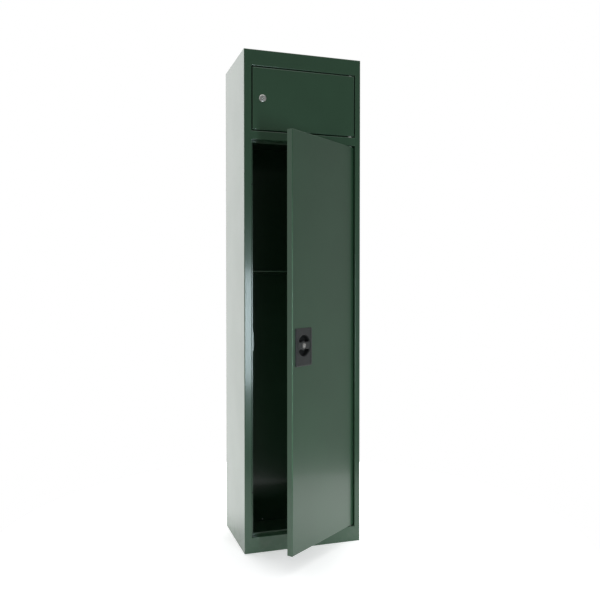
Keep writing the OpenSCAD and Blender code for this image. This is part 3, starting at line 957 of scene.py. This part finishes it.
class Repeater:
    """A geometry tree that sets one fastener on every point of a mesh."""

    def __init__(self, name: str, inputs: dict[str, Size], material: Material) -> None:
        """Starts the tree.

        Args:
            name: The tree's name.
            inputs: Its named inputs.
            material: The finish that its Set Material gives.
        """
        self.tree = bpy.data.node_groups.new(name, "GeometryNodeTree")
        self.tree.interface.new_socket("Geometry", in_out="INPUT", socket_type="NodeSocketGeometry")
        for label, kind in inputs.items():
            self.tree.interface.new_socket(label, in_out="INPUT", socket_type=kind.value)
        self.tree.interface.new_socket("Geometry", in_out="OUTPUT", socket_type="NodeSocketGeometry")
        self.wiring = Wiring(self.tree)
        self.source = self.wiring.add("NodeGroupInput")
        self.material = material

    def size(self, label: str) -> Socket:
        """Gives one of the tree's named inputs.

        Args:
            label: The input's name.

        Returns:
            Its socket.
        """
        return self.source.outputs[label]

    def moved(self, shape: Socket, z: object, scale: object = (1.0, 1.0, 1.0)) -> Socket:
        """Scales a shape and moves it along its own axis.

        Args:
            shape: The geometry.
            z: How far it moves.
            scale: Its scale on each axis.

        Returns:
            The moved geometry.
        """
        along = self.wiring.combined(0.0, 0.0, z)
        values = {"Geometry": shape, "Translation": along, "Scale": scale}
        return self.wiring.add("GeometryNodeTransform", values).outputs[0]

    def rod(self, radius: object, length: object, z: object, sides: int = 32) -> Socket:
        """Makes a round rod about the Z axis.

        Args:
            radius: Its radius.
            length: Its length.
            z: The place of its middle.
            sides: Segments round it.

        Returns:
            The geometry.
        """
        values = {"Vertices": sides, "Radius": radius, "Depth": length}
        return self.moved(self.wiring.add("GeometryNodeMeshCylinder", values).outputs["Mesh"], z)

    def less(self, shape: Socket, *cutters: Socket) -> Socket:
        """Cuts shapes out of a shape.

        Args:
            shape: What is cut.
            cutters: What is taken away.

        Returns:
            What is left.
        """
        settings = {"operation": "DIFFERENCE", "solver": "EXACT"}
        node = self.wiring.add("GeometryNodeMeshBoolean", {0: shape}, **settings)
        for cutter in cutters:
            self.tree.links.new(cutter, node.inputs[1])
        return node.outputs[0]

    def end(self, *shapes: Socket) -> None:
        """Sets the joined shapes on each point, turned to the outward direction, and dresses them.

        Args:
            shapes: The parts of one fastener, its axis on Z and its head upwards.
        """
        w = self.wiring
        joined = w.add("GeometryNodeJoinGeometry")
        for shape in reversed(shapes):
            self.tree.links.new(shape, joined.inputs[0])
        turn = w.add("FunctionNodeAlignRotationToVector", {"Vector": self.size("Outwards")}, axis="Z")
        values = {"Points": self.size("Geometry"), "Instance": joined.outputs[0],
                  "Rotation": turn.outputs[0]}
        spread = w.add("GeometryNodeInstanceOnPoints", values).outputs[0]
        real = w.add("GeometryNodeRealizeInstances", {0: spread}).outputs[0]
        dressed = w.add("GeometryNodeSetMaterial", {"Geometry": real, "Material": self.material})
        w.add("NodeGroupOutput", {0: dressed.outputs[0]})

    def piece(self, name: str, points: Sequence[Vector], values: dict[str, object]) -> Object:
        """Runs the tree and keeps its result as a plain mesh.

        Args:
            name: The piece's name.
            points: Where the fasteners go.
            values: The tree's inputs by name.

        Returns:
            The new piece.
        """
        seeds = bpy.data.meshes.new(name + "_seeds")
        seeds.from_pydata([tuple(p) for p in points], [], [])
        holder = bpy.data.objects.new(name + "_seeds", seeds)
        bpy.context.scene.collection.objects.link(holder)
        modifier = holder.modifiers.new("Repeat", "NODES")
        modifier.node_group = self.tree
        sockets = self.tree.interface.items_tree
        identifiers = {i.name: i.identifier for i in sockets if i.in_out == "INPUT"}
        for label, value in values.items():
            modifier[identifiers[label]] = value
        graph = bpy.context.evaluated_depsgraph_get()
        data = bpy.data.meshes.new_from_object(holder.evaluated_get(graph))
        holder.modifiers.remove(modifier)
        bpy.data.objects.remove(holder)
        data.name = name
        return placed(name, data, None)


def rivet_tree(material: Material) -> Repeater:
    """Builds the tree for blind rivets: a dome with the stub of its mandrel, a shank and a tail.

    Args:
        material: The rivets' finish.

    Returns:
        The tree.
    """
    inputs = {"Head Radius": Size.LENGTH, "Head Height": Size.LENGTH, "Shank Radius": Size.LENGTH,
              "Tail Radius": Size.LENGTH, "Grip": Size.LENGTH, "Tail Length": Size.LENGTH,
              "Outwards": Size.DIRECTION}
    r = Repeater("blind_rivet", inputs, material)
    w = r.wiring
    head_r, head_h = r.size("Head Radius"), r.size("Head Height")
    tail_r, grip = r.size("Tail Radius"), r.size("Grip")
    half_tail = w.times(r.size("Tail Length"), 0.5)
    ball_values = {"Segments": 28, "Rings": 12, "Radius": 1.0}
    ball = w.add("GeometryNodeMeshUVSphere", ball_values).outputs["Mesh"]
    head = r.moved(ball, 0.0, w.combined(head_r, head_r, head_h))
    well_r = w.times(head_r, 0.3)
    well = r.rod(well_r, head_h, w.times(head_h, 1.05), 20)
    stub = r.rod(w.times(well_r, 0.8), w.times(head_h, 0.5), w.times(head_h, 0.45), 16)
    shank = r.rod(r.size("Shank Radius"), grip, w.times(grip, -0.5), 24)
    tail_mid = w.times(w.math("ADD", grip, half_tail), -1.0)
    tail = r.moved(ball, tail_mid, w.combined(tail_r, tail_r, half_tail))
    r.end(r.less(head, well), stub, shank, tail)
    return r


def screw_tree(material: Material) -> Repeater:
    """Builds the tree for pan-head screws with a cross recess and a plain round shank.

    Args:
        material: The screws' finish.

    Returns:
        The tree.
    """
    inputs = {"Head Radius": Size.LENGTH, "Head Height": Size.LENGTH, "Shank Radius": Size.LENGTH,
              "Shank Length": Size.LENGTH, "Outwards": Size.DIRECTION}
    r = Repeater("pan_screw", inputs, material)
    w = r.wiring
    radius, height, length = r.size("Head Radius"), r.size("Head Height"), r.size("Shank Length")
    wall_share = 0.55
    wall_h = w.times(height, wall_share)
    wall = r.rod(radius, wall_h, w.times(wall_h, 0.5))
    crown_values = {"Vertices": 32, "Radius Top": w.times(radius, 0.72), "Radius Bottom": radius,
                    "Depth": w.times(height, 1.0 - wall_share)}
    crown = r.moved(w.add("GeometryNodeMeshCone", crown_values).outputs["Mesh"], wall_h)
    long_side, short_side = w.times(radius, 1.15), w.times(radius, 0.24)
    cutters = []
    for x, y in ((long_side, short_side), (short_side, long_side)):
        block = w.add("GeometryNodeMeshCube", {"Size": w.combined(x, y, height)}).outputs["Mesh"]
        cutters.append(r.moved(block, w.times(height, 0.98)))
    shank = r.rod(r.size("Shank Radius"), length, w.times(length, -0.5), 20)
    union = w.add("GeometryNodeMeshBoolean", operation="UNION", solver="EXACT")
    for shape in (wall, crown):
        r.tree.links.new(shape, union.inputs[1])
    r.end(r.less(union.outputs[0], *cutters), shank)
    return r


# ---- Sub-assemblies ----

# Edge profiles in millimetres: how far out or in, and how far behind the front.
PLATE_EDGE = ((0.0, 1.5), (0.25, 0.85), (0.8, 0.3), (1.7, 0.0))
DISH_EDGE = ((1.0, 0.0), (0.3, 0.3), (0.0, 1.0))
HUB_EDGE = ((-0.7, 0.4), (-0.2, 0.6), (0.0, 1.1))
HOUSING_EDGE = ((-0.9, 0.0), (-0.35, 0.2), (0.0, 0.8))
HOUSING_BORE_EDGE = ((0.0, 0.35), (0.3, 0.0))


def edge(profile: Sequence[tuple[float, float]], side: float, depth: float) -> Loop:
    """Sets an edge profile in place.

    Args:
        profile: One of the edge profiles.
        side: The radius or inset that it starts from.
        depth: The depth that it starts from.

    Returns:
        Radius or inset, and depth, of each point.
    """
    return [(side + out * MM, depth + behind * MM) for out, behind in profile]


@dataclass
class Finishes:
    """Every finish of the cabinet, made once."""

    handle_axes: Axes
    lock_axes: Axes
    green: Colour = (0.0300, 0.0800, 0.0420)
    made: dict[str, Material] = field(default_factory=dict)

    def build(self) -> None:
        """Makes the materials, each under the name of its slot or its part."""
        grip = self.handle_axes.origin
        lock = self.lock_axes.origin
        nickel = (0.70, 0.695, 0.67)
        door_low = self.handle_axes.box("lower_door_pan")[0]
        leading = self.handle_axes.matrix @ Vector((door_low.x, door_low.y, 0.0))
        finishes = [
            PowderCoat("carcass_paint", self.green, lock + Vector((0.005, 0.0, 0.0)), 0.045),
            PowderCoat("door_paint", self.green, grip, fold=Axes(leading, self.handle_axes.depth)),
            PlatedMetal("zinc_plate", (0.56, 0.575, 0.59), Lay.BARREL, 0.3),
            PlatedMetal("drawn_zinc", (0.57, 0.58, 0.585), Lay.DRAWN, 0.28),
            PlatedMetal("nickel_plate", nickel, Lay.BARREL, 0.2),
            PlatedMetal("washer_nickel", nickel, Lay.BARREL, 0.28, darkened_below=0.2),
            PlatedMetal("turned_handle_nickel", nickel, Lay.TURNED, 0.17, self.handle_axes),
            PlatedMetal("satin_housing", (0.33, 0.33, 0.32), Lay.TURNED, 0.3, self.handle_axes),
            PlatedMetal("turned_lock_nickel", nickel, Lay.TURNED, 0.3, self.lock_axes),
            MouldedPlastic("black_plastic", (0.024, 0.027, 0.027), self.handle_axes),
            SoftPlastic("white_nylon", (0.74, 0.73, 0.68), 0.45, 900.0),
            SoftPlastic("black_rubber", (0.018, 0.018, 0.018), 0.75, 1500.0, 0.3),
        ]
        for finish in finishes:
            self.made[finish.name] = finish.material()

    def dress_nodes(self) -> None:
        """Gives each CAD node the finish of its slot, or a finer one for its own part."""
        own = {"upper_latch_rod": "drawn_zinc", "lower_latch_rod": "drawn_zinc",
               "handle_spindle": "drawn_zinc", "thrust_washers": "washer_nickel"}
        for part in frame["record"]["subparts"]:
            node = frame["nodes"][part["node"]]
            material = self.made[own.get(part["node"], part["material_slot"])]
            node.data.materials.clear()
            node.data.materials.append(material)


@dataclass
class Lock:
    """A round cam lock: its body in the door and the plug that turns in it."""

    axes: Axes
    body_node: str
    plug_node: str
    material: Material
    rim: float = 1.6 * MM
    lead: float = 0.4 * MM
    keyway_w: float = 1.9 * MM
    keyway_h: float = 7.2 * MM
    keyway_depth: float = 9.0 * MM
    play: float = 0.05 * MM
    thread_pitch: float = 1.25 * MM
    thread_depth: float = 0.45 * MM
    thread_start: float = 5.4 * MM
    flange_step: float = 1.4 * MM

    def body(self, name: str) -> Object:
        """Turns the lock's body, with a bevelled face and a threaded barrel.

        Args:
            name: The piece's name.

        Returns:
            The piece.
        """
        low, high = self.axes.box(self.body_node)
        face, back, outer = low.y, high.y, high.x
        bore = self.axes.box(self.plug_node)[1].x + self.play
        barrel = outer - self.flange_step
        profile = [(bore, face + self.lead), (bore + self.lead, face), (outer - self.rim, face),
                   (outer - 0.45 * self.rim, face + 0.3 * self.rim), (outer, face + 0.8 * self.rim),
                   (outer, 0.0), (barrel, 0.0)]
        depth = self.thread_start
        while depth < back - self.thread_pitch:
            profile.append((barrel, depth))
            profile.append((barrel - self.thread_depth, depth + 0.5 * self.thread_pitch))
            depth += self.thread_pitch
        profile += [(barrel, back - self.lead), (barrel - self.lead, back), (bore, back)]
        shell = Shell(self.axes)
        shell.turned(profile, closed=True)
        return shell.finish(name, self.material)

    def plug(self, name: str, tail: float | None = None, tenon: float = 0.0) -> Object:
        """Makes the plug, with a keyway sunk in its face.

        Args:
            name: The piece's name.
            tail: Depth of the round part's end, or None for the whole node's.
            tenon: Width of the square tenon beyond it, or 0 for none.

        Returns:
            The piece.
        """
        low, high = self.axes.box(self.plug_node)
        radius, face = high.x, low.y
        end = high.y if tail is None else tail
        angles = even_angles(144)
        way = slot(self.keyway_w, self.keyway_h, angles)
        lip = slot(self.keyway_w + self.lead, self.keyway_h + self.lead, angles)
        shell = Shell(self.axes)
        shell.loft([
            (circle(radius, angles), end), (circle(radius, angles), face + self.lead),
            (circle(radius - self.lead, angles), face), (lip, face), (way, face + 0.5 * self.lead),
            (way, face + self.keyway_depth)])
        if tenon:
            half = tenon / 2.0
            square = [(half, -half), (half, half), (-half, half), (-half, -half)]
            shell.loft([(square, end - self.lead), (square, high.y)])
        return shell.finish(name, self.material)


@dataclass
class HandleSet:
    """The recessed turn handle of the lower door: plate, grip, key cylinder."""

    axes: Axes
    plastic: Material
    nickel: Material
    satin: Material
    corner: float = 5.0 * MM
    rim_w: float = 5.5 * MM
    field_depth: float = 0.7 * MM
    slope: float = 0.5 * MM
    dish_r: float = 30.0 * MM
    dish_wall: float = 2.0 * MM
    dish_floor: float = 13.0 * MM
    dish_fillet: float = 2.4 * MM
    ring_w: float = 2.2 * MM
    journal_r: float = 9.0 * MM
    grip_fillet: float = 0.9 * MM
    border: float = 0.15 * MM
    bore_lead: float = 0.2 * MM
    bar_half: float = 9.5 * MM
    bar_depth: float = 9.5 * MM
    bar_sweep: float = 7.0 * MM
    hub_lead: float = 0.4 * MM
    hub_play: float = 0.3 * MM
    seat_wall: float = 1.9 * MM
    tail_r: float = 5.75 * MM
    journal_play: float = 0.06 * MM
    housing_play: float = 0.03 * MM
    plug_play: float = 0.05 * MM
    post_r: float = 4.0 * MM
    post_bore: float = 1.5 * MM
    post_front: float = -1.0 * MM
    post_back: float = 1.2 * MM
    core_keyway: float = 8.0 * MM

    def plate(self) -> Object:
        """Lofts the plate, its raised rim and ring, and the round dish behind it.

        Returns:
            The piece.
        """
        low, high = self.axes.box("handle_plate")
        proud, back = low.y, high.y

        def outline(inset: float) -> Loop:
            """Draws the plate's outline, drawn in by inset."""
            return rounded_plate(low, high, self.corner, inset, 8, 36)

        angles = angles_of(outline(0.0))
        base = proud + self.field_depth
        f = self.dish_fillet
        rings = [(outline(0.0), 0.0)]
        rings += [(outline(inset), depth) for inset, depth in edge(PLATE_EDGE, 0.0, proud)]
        rings += [(outline(self.rim_w), proud), (outline(self.rim_w + self.slope), base)]
        ring_r = self.dish_r + self.ring_w
        bore = self.journal_r + self.journal_play
        shell_r = self.dish_r + self.dish_wall
        bends = [(ring_r + self.slope, base), (ring_r, proud)]
        bends += edge(DISH_EDGE, self.dish_r, proud)
        bends += [(self.dish_r, self.dish_floor - f)]
        bends += [(self.dish_r - f * (1 - math.cos(t)), self.dish_floor - f * (1 - math.sin(t)))
                  for t in QUARTER[1:]]
        bends += [(bore + self.slope, self.dish_floor), (bore, self.dish_floor + self.slope),
                  (bore, back), (shell_r - f, back), (shell_r - 0.3 * f, back - 0.3 * f),
                  (shell_r, back - f), (shell_r, 0.0)]
        rings += [(circle(r, angles), depth) for r, depth in bends]
        shell = Shell(self.axes)
        shell.loft(rings, closed=True)
        post = [(self.post_bore, self.post_front), (self.post_r, self.post_front),
                (self.post_r, self.post_back), (self.post_bore, self.post_back)]
        for screw_low, screw_high in self.axes.islands("plate_screws"):
            centre = (screw_low + screw_high) / 2.0
            shell.turned(post, closed=True, count=32, shift=(centre.x, centre.z))
        return shell.finish("handle_plate_shell", self.plastic)

    def grip(self) -> Object:
        """Lofts the grip bar and turns its hub.

        Returns:
            The piece.
        """
        low, high = self.axes.box("turn_handle")
        face, back, radius, hub_r = low.y, high.y, high.x, high.z
        f = self.grip_fillet
        outline = BarOutline(radius, self.bar_half, self.bar_sweep).loop
        bore = self.axes.box("cylinder_housing")[1].x + self.housing_play
        angles = even_angles(96)
        shell = Shell(self.axes)
        hole_back, hole_face = shell.skin([
            (circle(bore, angles), self.bar_depth), (circle(bore, angles), face + self.bore_lead),
            (circle(bore + self.bore_lead, angles), face)])
        sides = [(outline(f + self.border), face)]
        sides += [(outline(f * (1 - math.sin(t))), face + f * (1 - math.cos(t))) for t in QUARTER]
        sides += [(outline(0.0), self.bar_depth - f), (outline(0.4 * f), self.bar_depth)]
        rim_face, rim_back = shell.skin(sides)
        shell.pierced(rim_face, hole_face)
        shell.pierced(rim_back, hole_back)
        lead = self.hub_lead
        hub_end = self.dish_floor - self.hub_play
        seat = self.dish_floor - self.seat_wall
        hub = [(bore, lead)] + edge(HUB_EDGE, hub_r, 0.0)
        hub += [(hub_r, hub_end - lead), (hub_r - lead, hub_end), (self.journal_r, hub_end),
                (self.journal_r, back), (self.tail_r, back), (self.tail_r, seat), (bore, seat)]
        shell.turned(hub, closed=True)
        return shell.finish("grip_bar", self.plastic)

    def cylinder(self) -> Object:
        """Turns the key cylinder's housing, with a rounded rim.

        Returns:
            The piece.
        """
        low, high = self.axes.box("cylinder_housing")
        face, back, outer = low.y, high.y, high.x
        bore = self.axes.box("key_plug")[1].x + self.plug_play
        profile = edge(HOUSING_BORE_EDGE, bore, face) + edge(HOUSING_EDGE, outer, face)
        shell = Shell(self.axes)
        shell.turned(profile + [(outer, back), (bore, back)], closed=True)
        return shell.finish("key_cylinder", self.satin)

    def build(self) -> None:
        """Makes every piece of the handle set."""
        report(self.plate(), "lower_door", "black_plastic", "handle_plate")
        report(self.grip(), "handle", "black_plastic", "turn_handle")
        report(self.cylinder(), "handle", "nickel_plate", "cylinder_housing")
        core = Lock(self.axes, "cylinder_housing", "key_plug", self.nickel,
                    keyway_depth=self.core_keyway)
        report(core.plug("key_core_plug"), "key_core", "nickel_plate", "key_plug")


@dataclass
class UpperLock:
    """The small cam lock of the upper door."""

    axes: Axes
    nickel: Material
    tenon: float = 7.0 * MM

    def build(self) -> None:
        """Makes the lock's body and plug."""
        lock = Lock(self.axes, "upper_lock_body", "upper_lock_plug", self.nickel)
        cam_front = self.axes.box("upper_lock_cam")[0].y
        report(lock.body("cam_lock_body"), "upper_door", "nickel_plate", "upper_lock_body")
        plug = lock.plug("cam_lock_plug", cam_front, self.tenon)
        report(plug, "upper_lock", "nickel_plate", "upper_lock_plug")


@dataclass(frozen=True)
class ScrewKind:
    """Sizes of the screws in one CAD node."""

    node: str
    head_height: float
    shank_r: float


SCREWS = (
    ScrewKind("plate_screws", 2.0 * MM, 1.5 * MM),
    ScrewKind("case_screws", 2.0 * MM, 1.75 * MM),
    ScrewKind("guide_screws", 2.2 * MM, 2.0 * MM),
)
RIVET = {
    "Head Radius": 3.3 * MM,
    "Shank Radius": 2.0 * MM,
    "Tail Radius": 2.8 * MM,
    "Grip": 2.4 * MM,
    "Tail Length": 2.0 * MM,
}


@dataclass
class Fasteners:
    """Rivets and screws, set where the CAD model has them."""

    handle_axes: Axes
    zinc: Material
    level: Axes = Axes(Vector(), Vector((0.0, 1.0, 0.0)))

    def rivets(self) -> None:
        """Rivets the back panel on."""
        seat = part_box("back_panel")[1].y
        spots = [(low + high) / 2.0 for low, high in self.level.islands("back_rivets")]
        points = [Vector((spot.x, seat, spot.z)) for spot in spots]
        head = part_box("back_rivets")[1].y - seat
        values = {**RIVET, "Head Height": head, "Outwards": (0.0, 1.0, 0.0)}
        made = rivet_tree(self.zinc).piece("blind_rivets", points, values)
        report(made, "carcass", "zinc_plate", "back_rivets")

    def screws(self) -> None:
        """Sets the screws of the handle plate, the lock case and the rod guides."""
        tree = screw_tree(self.zinc)
        axes = self.handle_axes
        for kind in SCREWS:
            solids = axes.islands(kind.node)
            seats = []
            for low, high in solids:
                centre = (low + high) / 2.0
                seat = Vector((centre.x, high.y - kind.head_height, centre.z))
                seats.append(axes.matrix @ seat)
            low, high = solids[0]
            values = {"Head Radius": (high.x - low.x) / 2.0, "Head Height": kind.head_height,
                      "Shank Radius": kind.shank_r, "Shank Length": high.y - low.y - kind.head_height,
                      "Outwards": tuple(axes.depth)}
            made = tree.piece("cross_" + kind.node, seats, values)
            report(made, "lower_door", "zinc_plate", kind.node)


# ---- Studio ----


@dataclass(frozen=True)
class LightPanel:
    """A soft rectangular light that is not seen itself."""

    name: str
    at: Vector
    aim: Vector
    size: tuple[float, float]
    radiance: float
    colour: Colour = (1.0, 1.0, 1.0)

    def hang(self) -> None:
        """Adds the light to the scene, facing its aim."""
        data = bpy.data.lights.new(self.name, "AREA")
        data.shape = "RECTANGLE"
        data.size, data.size_y = self.size
        data.energy = self.radiance * math.pi * data.size * data.size_y
        data.color = self.colour
        light = bpy.data.objects.new(self.name, data)
        light.location = self.at
        light.rotation_euler = (self.aim - self.at).to_track_quat("-Z", "Y").to_euler()
        light.visible_camera = False
        bpy.context.scene.collection.objects.link(light)


@dataclass
class Studio:
    """Pale floor, soft light and the camera."""

    camera_at: Vector = field(default_factory=lambda: Vector((-0.64987, -2.10721, 0.8015)))
    tilt: float = math.radians(88.809)
    pan: float = math.radians(-17.903)
    lens: float = 41.0
    sensor: float = 36.0
    floor_radius: float = 0.94
    room_behind: float = 1.62
    room_left: float = 0.5
    room_right: float = 0.24
    room_above: float = 0.5
    room_fill: float = 0.15

    def camera(self) -> None:
        """Sets up the camera."""
        data = bpy.data.cameras.new("camera")
        data.sensor_width = self.sensor
        data.lens = self.lens
        camera = bpy.data.objects.new("camera", data)
        camera.location = self.camera_at
        camera.rotation_euler = (self.tilt, 0.0, self.pan)
        bpy.context.scene.collection.objects.link(camera)
        bpy.context.scene.camera = camera

    def floor(self) -> None:
        """Lays a pale round floor that glows, brighter to the right and behind the cabinet, as painted light."""
        rim = [(x, y, 0.0) for x, y in circle(self.floor_radius, even_angles(96))]
        data = bpy.data.meshes.new("floor")
        data.from_pydata(rim, [], [tuple(range(len(rim)))])
        material, w, where, shader = new_material("pale_floor")
        tone = w.mixed(w.cloud(where, 1.5, 2.0), (0.82, 0.82, 0.82), (0.85, 0.85, 0.85))
        plug_in(w, shader, base_color=tone)
        shader.inputs["Roughness"].default_value = 0.8
        # Painted light: the floor's glow is stronger to the right and behind, a painted pool of light that also
        # lights the cabinet.
        shader.inputs["Emission Color"].default_value = (1.0, 1.0, 1.0, 1.0)
        x, y, _ = w.parts(where)
        right = w.ranged(x, -0.15, 0.45, 0.0, 0.4)
        behind = w.ranged(y, 0.0, 0.3, 0.42, 0.95)
        w.tree.links.new(w.math("ADD", right, behind), shader.inputs["Emission Strength"])
        data.materials.append(material)
        floor = bpy.data.objects.new("floor", data)
        bpy.context.scene.collection.objects.link(floor)
        floor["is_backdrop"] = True

    def surroundings(self) -> None:
        """Paints the room: white to the camera, bright behind the cabinet, dim in front of it."""
        world = bpy.data.worlds.new("room")
        bpy.context.scene.world = world
        world.use_nodes = True
        tree = world.node_tree
        tree.nodes.clear()
        w = Wiring(tree)
        towards = w.add("ShaderNodeTexCoord").outputs["Generated"]
        x, y, z = w.parts(towards)
        behind = w.ranged(y, 0.1, 0.85, 0.0, self.room_behind)
        level = w.ranged(z, -0.02, 0.3, 1.0, 0.4)
        right = w.times(w.ranged(x, 0.35, 0.95, 0.0, self.room_right), level)
        left = w.ranged(x, -0.95, -0.35, self.room_left, 0.0)
        above = w.ranged(z, 0.35, 0.95, 0.0, self.room_above)
        sides = w.math("ADD", left, right)
        upper = w.math("ADD", above, self.room_fill)
        total = w.math("ADD", w.math("ADD", behind, sides), upper)
        white = (1.0, 1.0, 1.0, 1.0)
        lit = w.add("ShaderNodeBackground", {"Color": white, "Strength": total}).outputs[0]
        seen = w.add("ShaderNodeBackground", {"Color": white, "Strength": 1.0}).outputs[0]
        camera_ray = w.add("ShaderNodeLightPath").outputs["Is Camera Ray"]
        shown = w.add("ShaderNodeMixShader", {0: camera_ray, 1: lit, 2: seen}).outputs[0]
        w.add("ShaderNodeOutputWorld", {0: shown})

    def build(self) -> None:
        """Sets the whole studio."""
        self.camera()
        self.floor()
        self.surroundings()
        strip_aim = Vector((-0.17, -0.13, 0.55))
        LightPanel("tall_strip", Vector((0.3, -2.1, 0.55)), strip_aim, (0.15, 0.68), 31.0,
                   (0.80, 0.94, 1.0)).hang()
        LightPanel("overhead", Vector((0.3, -0.6, 3.2)), Vector((0.0, 0.0, 0.8)), (2.4, 1.6), 1.2).hang()
        bpy.context.scene.view_settings.view_transform = "Standard"


def corners(box: tuple[Vector, Vector]) -> list[list[float]]:
    """Turns a box into plain lists.

    Args:
        box: Its lowest and highest corner.

    Returns:
        The two corners as lists of numbers.
    """
    return [[float(c) for c in corner] for corner in box]


def main() -> None:
    """Builds the finishes, the pieces and the studio."""
    logging.basicConfig(level=logging.INFO, format="%(name)s: %(message)s")
    handle_axes = Axes.of_joint("handle_turn")
    lock_axes = Axes.of_joint("upper_lock_turn")
    finishes = Finishes(handle_axes, lock_axes)
    finishes.build()
    finishes.dress_nodes()
    made = finishes.made
    handle = HandleSet(handle_axes, made["black_plastic"], made["turned_handle_nickel"],
                       made["satin_housing"])
    handle.build()
    UpperLock(lock_axes, made["turned_lock_nickel"]).build()
    fasteners = Fasteners(handle_axes, made["zinc_plate"])
    fasteners.rivets()
    fasteners.screws()
    Studio().build()
    {"cad_box": corners(CAD_BOX), "visual_box": corners(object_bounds())}


if __name__ == "__main__":
    main()
